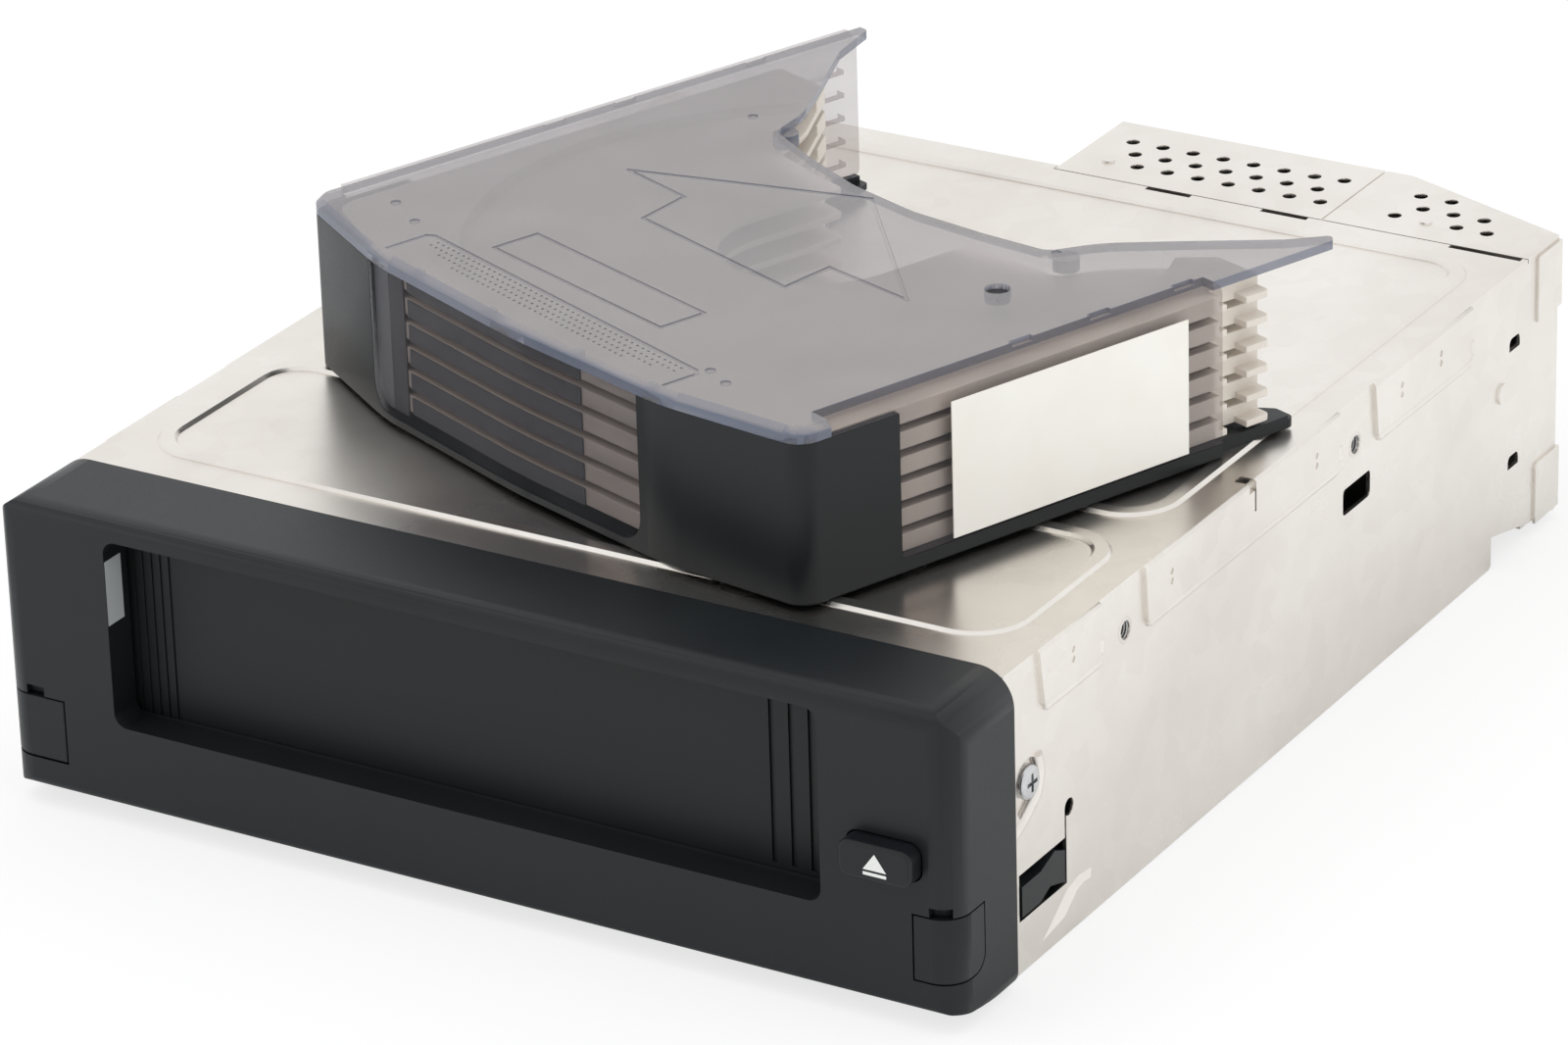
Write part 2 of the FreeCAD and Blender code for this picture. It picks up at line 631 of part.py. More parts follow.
def left_outline():
    """(depth, height) corners of the left side plate, which has no extension behind it."""
    return [
        (TONGUE_FRONT, FASCIA_Z + 4.5, 1), (CHASSIS_FRONT, FASCIA_Z + 4.5), (CHASSIS_FRONT, 0),
        (BASE_BACK, 0, 1), (BASE_BACK, 6.0), (CHASSIS_BACK - SHEET, 2.6), (CHASSIS_BACK - SHEET, COVER_UNDER),
        (CHASSIS_FRONT, COVER_UNDER), (CHASSIS_FRONT, TONGUE_TOP), (TONGUE_FRONT, TONGUE_TOP, 1),
    ]


def half_round_window(y, z, width, height):
    """Outline of a half-round louvre slot in a side plate."""
    return [(y - width / 2, z - height / 2), (y + width / 2, z - height / 2),
            (y + width / 2, z + height / 2, height * 0.45), (y - width / 2, z + height / 2, height * 0.45)]


def side_features():
    """Cutting tools shared by the two side plates, for the right one's position."""
    x0 = INNER_X - 2
    tools = []
    for y in (HOLE_FRONT, HOLE_BACK):
        tools.append(rod("X", x0, y, HOLE_Z, TAP_R, 5))
    tools.append(prism(rectangle(137.4, 147.6, 33.8, 38.6, 0.8), "X", x0, 5))
    tools.append(prism(half_round_window(204.4, 40.3, 4.2, 2.4), "X", x0, 5))
    tools.append(prism(half_round_window(204.4, 17.6, 4.2, 2.4), "X", x0, 5))
    tools.append(rod("X", x0, 40.6, 22.4, 1.5, 5))
    return tools


def collars():
    """Extruded collars round the threaded holes, inside the right side plate."""
    return [rod("X", INNER_X - COLLAR_DEEP, y, HOLE_Z, COLLAR_R, COLLAR_DEEP + SHEET / 2)
            for y in (HOLE_FRONT, HOLE_BACK)]


def pressed_dart():
    """Dart pressed outwards under the snap-arm window, wide at the back and with sloping flanks."""
    corners = [(29.0, 1.6), (38.8, 8.2), (43.5, 9.2), (48.6, 8.6), (50.4, 6.6), (46.4, 4.4)]
    middle = (43.6, 6.7)
    rings = []
    for x, share in ((SIDE_X - SHEET / 2, 1.0), (SIDE_X + 0.9, 0.45)):
        ring = [Vector(x, middle[0] + (y - middle[0]) * share, middle[1] + (z - middle[1]) * share)
                for y, z in corners]
        rings.append(Part.makePolygon(ring + ring[:1]))
    return Part.makeLoft(rings, True, True)


def make_side_plate_right():
    """Right side plate with collars, a screw dimple, louvres, the snap-arm window and a pressed dart."""
    x0 = INNER_X
    plate = prism(side_outline(), "X", x0, SHEET)
    dimple = prism(rectangle(22.6, 31.8, 25.6, 37.6, 4.5), "X", x0 - 0.7, 0.7 + SHEET / 2)
    rivet = rod("X", x0, 199.3, 32.4, 1.9, SHEET + 0.5)
    plate = join([plate, dimple, rivet] + collars())
    tools = side_features()
    tools.append(block(x0 - 1, SIDE_X + 1, *ARM_WINDOW))
    tools.append(block(x0 - 1, SIDE_X + 1, ARM_WINDOW[1] - 0.5, ARM_WINDOW[1], ARM_WINDOW[3] - 0.1, 22.0))
    tools.append(prism(rectangle(23.4, 31.0, 26.4, 36.8, 3.7), "X", x0 + 0.1, SHEET))
    tools.append(rod("X", x0 - 2, SIDE_SCREW[0], SIDE_SCREW[1], SCREW_R + 0.15, SHEET + 3))
    return join([cut(plate, tools), pressed_dart()])


def make_side_plate_left():
    """Left side plate, like the right one but without its dimple and window."""
    plate = join([prism(left_outline(), "X", INNER_X, SHEET)] + collars())
    tools = side_features()
    tools.append(rod("X", INNER_X - 2, SIDE_SCREW[0], SIDE_SCREW[1], SCREW_R + 0.15, 5))
    return mirror_x(cut(plate, tools))


def make_base_plate():
    """Floor of the chassis with its raised back and the extension's floor, and pads for the circuit board."""
    plate = block(-INNER_X, INNER_X, CHASSIS_FRONT, BASE_BACK, 0, SHEET)
    inner_back = CHASSIS_BACK - SHEET
    step = prism([(BASE_BACK - SHEET, 0), (BASE_BACK, 0), (BASE_BACK, STEP_Z - SHEET),
                  (inner_back, STEP_Z - SHEET), (inner_back, STEP_Z), (BASE_BACK - SHEET, STEP_Z)],
                 "X", -INNER_X, 2 * INNER_X)
    path = rear_path(SHEET)
    left = path[1][0]
    riser = block(left, INNER_X, inner_back - SHEET, inner_back, EXT_Z, STEP_Z)
    extension = prism([(left, inner_back - SHEET), (INNER_X, inner_back - SHEET), path[4], path[3], path[2]],
                      "Z", EXT_Z, SHEET)
    pads = [rod("Z", x, y, SHEET / 2, 3.0, board_z() - SHEET / 2) for x, y in board_fixings()]
    return join([plate, step, riser, extension] + pads)


def board_z():
    """Underside of the main circuit board."""
    return 3.6


def board_fixings():
    """Fixing points of the main circuit board."""
    return [(-66, 30), (36, 30), (-66, 108), (36, 108)]


def rear_path(inset):
    """(x, depth) corners of the rear wall's face, moved inwards by inset."""
    slope = math.hypot(SIDE_X - EXT_CHAMFER_X, EXT_BACK - EXT_SIDE_BACK)
    share = (EXT_BACK - EXT_SIDE_BACK) / (SIDE_X - EXT_CHAMFER_X)
    shift = inset * slope / (SIDE_X - EXT_CHAMFER_X)
    low_y = EXT_BACK - (INNER_X - EXT_CHAMFER_X) * share - shift
    bend_x = EXT_CHAMFER_X + (inset - shift) / share
    return [(-INNER_X, CHASSIS_BACK - inset), (EXT_LEFT + inset, CHASSIS_BACK - inset),
            (EXT_LEFT + inset, EXT_BACK - inset), (bend_x, EXT_BACK - inset), (INNER_X, low_y)]


def make_rear_plate():
    """Folded rear wall: straight at the left, then round the extension, with two flanges on the right."""
    wall = prism(rear_path(0) + rear_path(SHEET)[::-1], "Z", EXT_Z, COVER_UNDER - EXT_Z)
    x0, x1, z0, z1 = connector_box()
    wall = wall.cut(block(x0 - 0.2, x1 + 0.2, EXT_BACK - 3, EXT_BACK + 1, z0 - 0.2, z1 + 0.2))
    back = EXT_SIDE_BACK + 0.6
    flanges = []
    for z0, z1 in ((EXT_Z, 13.5), (41.0, COVER_UNDER)):
        flanges.append(block(INNER_X - 0.6, SIDE_X + 0.5, EXT_SIDE_BACK, back, z0, z1))
        flanges.append(prism([(213.0, z0), (back, z0), (back, z1), (213.0, z1, 1.0)], "X", SIDE_X, 0.5))
    return join([wall] + flanges)


def connector_box():
    """x and z limits of the rear connector."""
    return 8.0, 36.0, 20.0, 36.0


def make_rear_connector():
    """Socket for the car's harness, set through the rear wall."""
    x0, x1, z0, z1 = connector_box()
    shell = block(x0, x1, EXT_BACK - 13, EXT_BACK, z0, z1)
    flange = block(x0 - 2, x1 + 2, EXT_BACK - SHEET - 1.5, EXT_BACK - SHEET, z0 - 2, z1 + 2)
    cavity = block(x0 + 1.2, x1 - 1.2, EXT_BACK - 11, EXT_BACK + 1, z0 + 1.2, z1 - 1.2)
    body = join([shell, flange]).cut(cavity)
    pins = []
    for row in range(2):
        for i in range(8):
            px = x0 + 4.2 + i * 2.8
            pz = z0 + 5.0 + row * 6.0
            pins.append(block(px - 0.32, px + 0.32, EXT_BACK - 12, EXT_BACK - 5, pz - 0.32, pz + 0.32))
    return join([body] + pins)


def rolled_edge(points):
    """Rounded bead on the right side plate's outer face, along (depth, height) points."""
    parts = [Part.makeSphere(ROLL_R, Vector(SIDE_X, y, z)) for y, z in points]
    for (y0, z0), (y1, z1) in zip(points[:-1], points[1:]):
        along = Vector(0, y1 - y0, z1 - z0)
        parts.append(Part.makeCylinder(ROLL_R, along.Length, Vector(SIDE_X, y0, z0), along))
    outside = block(SIDE_X, SIDE_X + 5, 0, EXT_BACK, 0, CHASSIS_H)
    return join(parts).common(outside)


def tab(span, skew):
    """Cover tab on the right side: a plate with a rolled lower edge that is turned up at the back."""
    y0, y1 = span
    plate = prism([(y0, CHASSIS_H - 0.5), (y0 + skew, TAB_BOTTOM, 1.2), (y1, TAB_BOTTOM, 2.5),
                   (y1, CHASSIS_H - 0.5)],
                  "X", SIDE_X, TAB_T)
    low = TAB_BOTTOM + 0.2
    roll = rolled_edge([(y0 + skew + 1.2, low), (y1 - 1.6, low), (y1 - 0.3, low + 0.6), (y1, low + 1.9),
                        (y1, low + 3.6)])
    return join([plate, roll])


def stake(y, z):
    """Two small punch marks that lock a tab."""
    return [rod("X", SIDE_X + TAB_T - 0.25, y, z - 0.9, 0.55, 1),
            rod("X", SIDE_X + TAB_T - 0.25, y, z + 0.9, 0.55, 1)]


def make_top_cover():
    """Cover sheet with two pressed bead loops and locking tabs down both sides."""
    rear_line = CHASSIS_BACK - 1.6
    plate = prism([(-SIDE_X, CHASSIS_FRONT), (SIDE_X, CHASSIS_FRONT), (SIDE_X, rear_line - GAP),
                   (EXT_LEFT - GAP, rear_line - GAP), (EXT_LEFT - GAP, CHASSIS_BACK),
                   (-SIDE_X, CHASSIS_BACK)],
                  "Z", COVER_UNDER, SHEET)
    beads = [loop_bead(-BEAD_SIDE, BEAD_SIDE, *span) for span in (BEAD_FRONT_LOOP, BEAD_REAR_LOOP)]
    tabs = [tab(TAB_A, 1.6), tab(TAB_B, 0.8), tab(TAB_C, 1.2)]
    edge = []
    for y0, y1 in (TAB_A, TAB_B, TAB_C):
        edge.append(prism([(SIDE_X - 1, COVER_UNDER), (SIDE_X + TAB_T, COVER_UNDER),
                           (SIDE_X + TAB_T, CHASSIS_H, 0.65),
                           (SIDE_X - 1, CHASSIS_H)], "Y", y0, y1 - y0))
    right = tabs + edge
    left = [mirror_x(s) for s in right[:2] + right[3:5]]
    cover = join([plate] + beads + right + left)
    tools = []
    for y, down in ((41.4, 5.0), (74.6, 5.2), (126.2, 5.4), (158.3, 4.9), (173.4, 4.9)):
        tools += stake(y, CHASSIS_H - down)
    for x0, x1 in ((13.4, 22.4), (36.7, 45.9), (74.0, SIDE_X - 1)):
        tools.append(block(x0, x1, rear_line - 1.5, rear_line + 1, COVER_UNDER - 1, CHASSIS_H + 1))
    tools.append(block(SIDE_X - 2.2, SIDE_X + 2, 101.8, 104.2, CHASSIS_H - 1.8, CHASSIS_H + 1))
    tools.append(block(SIDE_X - 1, SIDE_X + 2, 103.7, 104.2, CHASSIS_H - 5.6, CHASSIS_H))
    return cut(cover, tools)


def perforations():
    """Centres of the ventilation holes in the rear cover, in two staggered patches."""
    last = EXT_BACK - 8.2
    left = EXT_LEFT + 6.5
    right = SIDE_X - 29.8
    spots = [(left + column * 6.2 + row * 3.2, last - row * 5.2) for column in range(7) for row in range(3)]
    spots.append((left + 42.9, last + 0.6))
    spots += [(right + i * 6.1, last + 0.1) for i in range(2)]
    spots += [(right + 3.0 + i * 6.05, last - 5.2) for i in range(3)]
    spots += [(right - 0.2, last - 10.1), (right + 12.1, last - 10.3), (right + 18.1, last - 10.4)]
    return spots


def make_rear_cover():
    """Lid of the rear extension, with ventilation holes and a lap seam."""
    front = CHASSIS_BACK - 1.6
    chamfer = rear_path(0)
    plate = prism([(EXT_LEFT, front), (SIDE_X, front), (SIDE_X, EXT_SIDE_BACK + 0.2), chamfer[3], chamfer[2]],
                  "Z", COVER_UNDER, SHEET)
    holes = [rod("Z", x, y, COVER_UNDER - 1, 1.25, SHEET + 2) for x, y in perforations()]
    seam = block(EXT_SEAM_X - 0.15, EXT_SEAM_X + 0.15, front - 1, EXT_BACK + 1,
                 CHASSIS_H - 0.3, CHASSIS_H + 1)
    plate = cut(plate, holes + [seam])
    places = ((EXT_LEFT + 6.9, EXT_BACK - 18.4), (SIDE_X - 23.6, EXT_BACK - 18.8))
    pips = [rod("Z", x, y, COVER_UNDER + SHEET / 2, 1.2, SHEET / 2 + 0.35) for x, y in places]
    return join([plate] + pips)


def screw(axis_sign, y, z, shank):
    """Cross-head screw through a side plate, head outwards."""
    head_x = INNER_X + 0.1
    head = rod("X", head_x, y, z, SCREW_HEAD_R, SCREW_HEAD_H)
    rim = [e for e in head.Edges if all(abs(v.X - head_x - SCREW_HEAD_H) < 1e-6 for v in e.Vertexes)]
    head = head.makeFillet(0.8, rim)
    stem = rod("X", head_x - shank, y, z, SCREW_R, shank)
    slot_y = block(head_x + 0.8, head_x + 3, y - 1.6, y + 1.6, z - 0.35, z + 0.35)
    slot_z = block(head_x + 0.8, head_x + 3, y - 0.35, y + 0.35, z - 1.6, z + 1.6)
    whole = cut(join([head, stem]), [slot_y, slot_z])
    return whole if axis_sign > 0 else mirror_x(whole)


def make_screws():
    """Screws beside the fascia, one each side, and four that hold the circuit board."""
    pieces = [screw(1, SIDE_SCREW[0], SIDE_SCREW[1], 5.0)]
    left = screw(-1, SIDE_SCREW[0], SIDE_SCREW[1], 1.4)
    left.translate(Vector(-SHEET + 0.1, 0, 0))
    pieces.append(left)
    for x, y in board_fixings():
        pieces.append(rod("Z", x, y, board_z() + BOARD_T, 2.4, 1.4))
    return group(pieces)


# ================================================================ magazine
def offset_outline(corners, distance):
    """Moves every side of a counterclockwise outline inwards by distance and adapts its corner radii."""
    count = len(corners)
    result = []
    for i in range(count):
        before, here, after = corners[i - 1], corners[i], corners[(i + 1) % count]
        u = (here[0] - before[0], here[1] - before[1])
        w = (after[0] - here[0], after[1] - here[1])
        lu = math.hypot(*u)
        lw = math.hypot(*w)
        u = (u[0] / lu, u[1] / lu)
        w = (w[0] / lw, w[1] / lw)
        turn = u[0] * w[1] - u[1] * w[0]
        lean = u[0] * w[0] + u[1] * w[1]
        along = distance * (1 - lean) / turn if abs(turn) > 1e-9 else 0.0
        point = (here[0] - u[1] * distance - u[0] * along, here[1] + u[0] * distance - u[1] * along)
        radius = here[2] if len(here) > 2 else 0.0
        if radius > 0:
            radius = max(radius - distance, 0.2) if turn > 0 else radius + distance
        result.append((point[0], point[1], radius))
    return result


def bowed_front():
    """Corners of the magazine's bowed front, from left to right."""
    half = MAG_W / 2
    side, depth = MAG_SHOULDER
    corner = (-3.4, 4.5)
    return [(-half, corner[0], corner[1]), (-side, depth - 0.15, 40), (0, -MAG_BOW - 0.15, 120),
            (side, depth - 0.15, 40), (half, corner[0], corner[1])]


def notch_edge(back, spread):
    """Corners of the notch in the back, from right to left, moved back and spread by the given amounts."""
    half = MAG_W / 2 + spread
    right = [(half - 8.1, 105.7 + back), (half - 17.4, 94.5 + back, 40), (half - 27.2, 82.3 + back, 20),
             (half - 30.7, 73.4 + back, 3.5), (22.9, 70.3 + back, 12), (7.9, 67.8 + back, 20)]
    left = [(-c[0],) + tuple(c[1:]) for c in right[::-1]]
    return right + left


def mag_box(u0, u1, v0, v1, z0, z1):
    """Box in the magazine's own directions."""
    return block(u0, u1, v0, v1, z0, z1)


def place_magazine(shape):
    """Stands a piece of the magazine at its place on the cover."""
    shape = shape.copy()
    shape.rotate(Vector(0, 0, 0), Vector(0, 0, 1), MAG_YAW)
    shape.translate(Vector(MAG_X, MAG_Y, CHASSIS_H + BEAD_H))
    return shape


def base_outline():
    """Outline of the magazine's floor."""
    half = MAG_W / 2
    tip = half - LEG_STEP
    right = [(half, SIDE_RIGHT_END), (tip, SIDE_RIGHT_END), (tip, 103.0, 1.5), (half - 7.0, 103.0, 1.0)]
    notch = [(c[0], c[1] - 1.0) + tuple(c[2:]) for c in notch_edge(0, 0)[1:-1]]
    left = [(7.0 - half, 104.5), (2.8 - half, MAG_TIP - 0.5, 0.6), (-half, MAG_TIP - 0.5, 0.6)]
    return bowed_front() + right + notch + left


def front_window_zone(grow):
    """Region of the front window, with rounded lower corners, grown on every side."""
    u0, u1 = FRONT_WINDOW
    z0 = WINDOW_LOW
    return prism([(u0 - grow, z0 - grow, WINDOW_CORNER), (u1 + grow, z0 - grow, WINDOW_CORNER),
                  (u1 + grow, LID_SKIRT_Z + 1), (u0 - grow, LID_SKIRT_Z + 1)], "Y", -MAG_BOW - 3, 14)


def front_wall(z0, z1, back):
    """Front wall of the magazine with its two corners, between two heights."""
    outline = bowed_front() + [(MAG_W / 2, 60), (-MAG_W / 2, 60)]
    wall = prism(outline, "Z", z0, z1 - z0)
    wall = wall.cut(prism(offset_outline(outline, MAG_WALL), "Z", z0 - 1, z1 - z0 + 2))
    return wall.common(mag_box(-MAG_W, MAG_W, -MAG_BOW - 5, back, z0, z1))


def make_magazine_base():
    """Black floor of the magazine with its skirt and its two closed front corners."""
    floor = prism(base_outline(), "Z", 0, MAG_FLOOR)
    half = MAG_W / 2
    corners = front_wall(0, LID_SKIRT_Z - 0.1, CORNER_LEN)
    corners = corners.cut(front_window_zone(0.1).common(mag_box(-80, 80, -20, 4, -1, 40)))
    skirt_right = mag_box(half - MAG_WALL, half, CORNER_LEN - 0.5, SIDE_RIGHT_END, 0, MAG_SKIRT - 0.1)
    skirt_left = mag_box(-half, -half + MAG_WALL, CORNER_LEN - 0.5, MAG_TIP - 1.2, 0, MAG_SKIRT - 0.1)
    inner = half - MAG_WALL - RIB_W
    start = CORNER_LEN - 0.5
    ledges = [mag_box(inner, half - 0.5, start, SIDE_RIGHT_END - 1, MAG_FLOOR - 0.1, MAG_SKIRT - 0.1),
              mag_box(-half + 0.5, -inner, start, MAG_TIP - 6, MAG_FLOOR - 0.1, MAG_SKIRT - 0.1)]
    foot = mag_box(half - LEG_STEP - 1.6, half - LEG_STEP, SIDE_RIGHT_END - 0.5, 101.4, 0, MAG_SKIRT - 0.6)
    body = join([floor, corners, skirt_right, skirt_left, foot] + ledges)
    low = [e for e in body.Edges if all(abs(v.Z) < 1e-6 and v.Y < 30 for v in e.Vertexes)]
    return place_magazine(body.makeChamfer(0.5, low))


def make_magazine_window():
    """Smoky front window, set between the black corners."""
    return place_magazine(front_wall(WINDOW_LOW, LID_SKIRT_Z - 0.1, 4).common(front_window_zone(0)))


def rib_boxes(u0, u1, v0, v1):
    """Ribs that carry the trays above the lowest one."""
    boxes = []
    for i in range(1, TRAY_COUNT):
        top = TRAY_FIRST_Z + i * TRAY_PITCH - 0.15
        boxes.append(mag_box(u0, u1, v0, v1, top - RIB_T, top))
    return boxes


def make_magazine_side_right():
    """Smoky right side window that wraps over the top edge, with the tray ribs inside."""
    half = MAG_W / 2
    under = MAG_H - MAG_LID_T
    panel = prism([(half - STRIP_W, under), (half - MAG_WALL, under), (half - MAG_WALL, MAG_SKIRT),
                   (half, MAG_SKIRT),
                   (half, MAG_H, 1.5), (half - STRIP_W, MAG_H)], "Y",
                  CORNER_LEN + 0.1, SIDE_RIGHT_END - CORNER_LEN - 0.1)
    strip = prism([(half - STRIP_W, under), (half - MAG_WALL, under), (half - MAG_WALL, LID_SKIRT_Z),
                   (half, LID_SKIRT_Z), (half, MAG_H, 1.5), (half - STRIP_W, MAG_H)], "Y", LID_SIDE_V + 0.1,
                  CORNER_LEN + 0.2 - LID_SIDE_V)
    ribs = rib_boxes(half - MAG_WALL - RIB_W, half - MAG_WALL + 0.1, CORNER_LEN + 0.3, SIDE_RIGHT_END - 1)
    return place_magazine(join([panel, strip] + ribs))


def make_magazine_side_left():
    """Smoky left side wall, as long as the lid, with the tray ribs inside."""
    half = MAG_W / 2
    outline = [(CORNER_LEN + 0.1, MAG_SKIRT), (MAG_TIP - 1.2, MAG_SKIRT, 1.5), (MAG_TIP - 1.2, MAG_H, 2.0),
               (LID_SIDE_V + 0.1, MAG_H), (LID_SIDE_V + 0.1, LID_SKIRT_Z), (CORNER_LEN + 0.1, LID_SKIRT_Z)]
    wall = prism(outline, "X", -half, MAG_WALL)
    lid_seat = mag_box(-half + 0.5, -half + 5, -10, MAG_TIP + 5, MAG_H - MAG_LID_T, MAG_H + 1)
    ribs = rib_boxes(-half + MAG_WALL - 0.1, -half + MAG_WALL + RIB_W, CORNER_LEN + 0.3, MAG_TIP - 6)
    return place_magazine(join([wall.cut(lid_seat)] + ribs))


def lid_outline():
    """Outline of the lid, with room for the side pieces."""
    half = MAG_W / 2
    right = [(half, LID_SIDE_V), (half - STRIP_W - 0.1, LID_SIDE_V),
             (half - STRIP_W - 0.1, SIDE_RIGHT_END + 0.1),
             (half - 2.4, SIDE_RIGHT_END + 0.1), (half - 2.4, MAG_TIP - 4.5, 0.8),
             (half - 4.1, MAG_TIP - 3.2, 0.8)]
    left = [(3.1 - half, MAG_TIP, 0.8), (-half + 0.6, MAG_TIP, 0.8), (-half + 0.6, LID_SIDE_V),
            (-half, LID_SIDE_V)]
    return bowed_front() + right + notch_edge(0, 0) + left


def line_cut(points, width, top, deep):
    """Shallow grooves of a given width that follow a row of points, on a face at height top."""
    tools = []
    for a, b in zip(points[:-1], points[1:]):
        length = math.hypot(b[0] - a[0], b[1] - a[1])
        bar = block(-width / 2, length + width / 2, -width / 2, width / 2, top - deep, top + 1)
        bar.rotate(Vector(0, 0, 0), Vector(0, 0, 1), math.degrees(math.atan2(b[1] - a[1], b[0] - a[0])))
        bar.translate(Vector(a[0], a[1], 0))
        tools.append(bar)
    return tools


def make_magazine_lid():
    """Smoky lid with its front skirt, direction arrow, grooves, clip slots and two short posts."""
    top = MAG_H
    under = MAG_H - MAG_LID_T
    plate = prism(lid_outline(), "Z", under, MAG_LID_T)
    skirt = front_wall(LID_SKIRT_Z, top, LID_SIDE_V)
    body = join([plate, skirt])
    rim = [e for e in body.Edges if all(abs(v.Z - top) < 1e-6 and v.Y < LID_SIDE_V + 0.01 for v in e.Vertexes)
           and e.CenterOfMass.y < LID_SIDE_V - 0.3]
    body = body.makeChamfer(1.1, rim)
    half = MAG_W / 2
    posts = [rod("Z", side * (half - 29.5), 76.5, under - 2.2, 2.3, 2.4) for side in (-1, 1)]
    body = join([body] + posts)
    tools = [rod("Z", half - 23.8, 56.9, under - 1, 2.2, 4)]
    arrow = [(-39.2, 43.7), (-1.2, 66.3), (36.8, 43.0), (17.5, 42.2), (19.2, 31.5), (-20.2, 32.3),
             (-23.2, 43.3),
             (-39.2, 43.7)]
    frame = [(-26.6, 5.9), (19.0, 5.9), (19.0, 14.9), (-26.6, 14.9), (-26.6, 5.9)]
    grip = [(-38.6, -7.4), (-38.6, 0.6), (-37.4, 1.6), (36.6, -0.4), (38.0, -1.4), (38.0, -7.9)]
    for points in (arrow, frame, grip):
        tools += line_cut(points, 0.6, top, 0.2)
    for v in (46.4, 63.0, 81.0):
        tools.append(mag_box(MAG_W / 2 - 5.8, MAG_W / 2 - 4.5, v - 2.2, v + 2.2, top - 0.9, top + 1))
    for v in (47.7, 63.1, 92.0):
        tools.append(mag_box(-MAG_W / 2, 1.4 - MAG_W / 2, v - 2.2, v + 2.2, top - 0.9, top + 1))
    for u, v in ((-54.1, 5.4), (-45.1, 2.9), (38.2, 1.3), (43.8, 0.0),
                 (22.4 - half, 74.9), (half - 29.2, 74.1)):
        tools.append(rod("Z", u, v, top - 0.3, 0.9, 1))
    return place_magazine(cut(body, tools))


def make_magazine_label():
    """Blank paper label on the right side window."""
    v0, v1, z0, z1 = LABEL
    return place_magazine(mag_box(MAG_W / 2, MAG_W / 2 + LABEL_T, v0, v1, z0, z1))


def tray_outline():
    """Outline of a tray in the magazine's own directions."""
    half = MAG_W / 2 - MAG_WALL - GAP
    front = [(u, v + MAG_WALL + GAP + 0.1) + tuple(rest) for u, v, *rest in bowed_front()[1:-1]]
    arm = [(half, TRAY_BACK, 1.0), (half - 12.9, TRAY_BACK, 1.0), (half - 24.6, 83.0, 15),
           (half - 28.0, 74.4, 3.0),
           (SPINDLE_SLOT, 72.6, 1.0)]
    slot = [(SPINDLE_SLOT, DISC_HOME - 17.0, SPINDLE_SLOT - 0.5)]
    right = arm + slot
    left = [(-c[0],) + tuple(c[1:]) for c in right[::-1]]
    corner = 0.9
    return [(-half, corner, 5.0)] + front + [(half, corner, 5.0)] + right + left


def make_tray(index):
    """One disc tray with its raised border, disc recess, spindle slot and a pull lug on the right."""
    z = TRAY_FIRST_Z + index * TRAY_PITCH
    outline = tray_outline()
    body = prism(outline, "Z", z, TRAY_RIM)
    half = MAG_W / 2 - MAG_WALL - GAP
    recess = rod("Z", 0, DISC_HOME, z + TRAY_T, DISC_R + 0.6, TRAY_RIM)
    ledge = mag_box(half - LUG_REACH, half + 1, SIDE_RIGHT_END + 1.0, TRAY_BACK + 1,
                    z + TRAY_T, z + TRAY_RIM + 1)
    gap = mag_box(half - LUG_REACH, half + 1, LUG_V[0], LUG_V[1], z - 1, z + TRAY_RIM + 1)
    return place_magazine(cut(body, [recess, ledge, gap]))


# ================================================================ bay
def make_bay_floor():
    """Bay floor sheet with the two shoulder pins of the eject slider."""
    left = -INNER_X + 2 * TRACK_HALF
    sheet = block(left, INNER_X, FLOOR_FRONT, FLOOR_BACK, OPENING_Z - FLOOR_T, OPENING_Z)
    pins = []
    for y in SLIDER_PINS:
        pins.append(rod("Z", SLIDER_X, y, OPENING_Z - 0.5, PIN_R, 0.5 + GAP + SLIDER_T + GAP))
        pins.append(rod("Z", SLIDER_X, y, OPENING_Z + GAP + SLIDER_T + GAP, 2.7, 0.8))
    return join([sheet] + pins)


def make_bay_rail_right():
    """Right guide wall of the bay."""
    x = OPENING_RIGHT - 0.2
    return block(x, x + RAIL_T, FLOOR_FRONT, RAIL_BACK_RIGHT, OPENING_Z, OPENING_Z + RAIL_H)


def make_bay_rail_left():
    """Left guide wall of the bay, slotted for the eject slider's pusher, with the spring's ear."""
    x = OPENING_LEFT + 0.2
    wall = block(x - RAIL_T, x, FLOOR_FRONT, RAIL_BACK_LEFT, OPENING_Z, OPENING_Z + RAIL_H)
    slot = block(x - RAIL_T - 1, x + 1, PUSHER_Y - SLIDER_TRAVEL - 1.5, RAIL_BACK_LEFT + 1, 22.0, 28.0)
    ear = block(SLIDER_X - 2.5, x - RAIL_T + 0.1, SPRING_Y[0] - 1.2, SPRING_Y[0], 21.8, 29.0)
    return join([wall.cut(slot), ear])


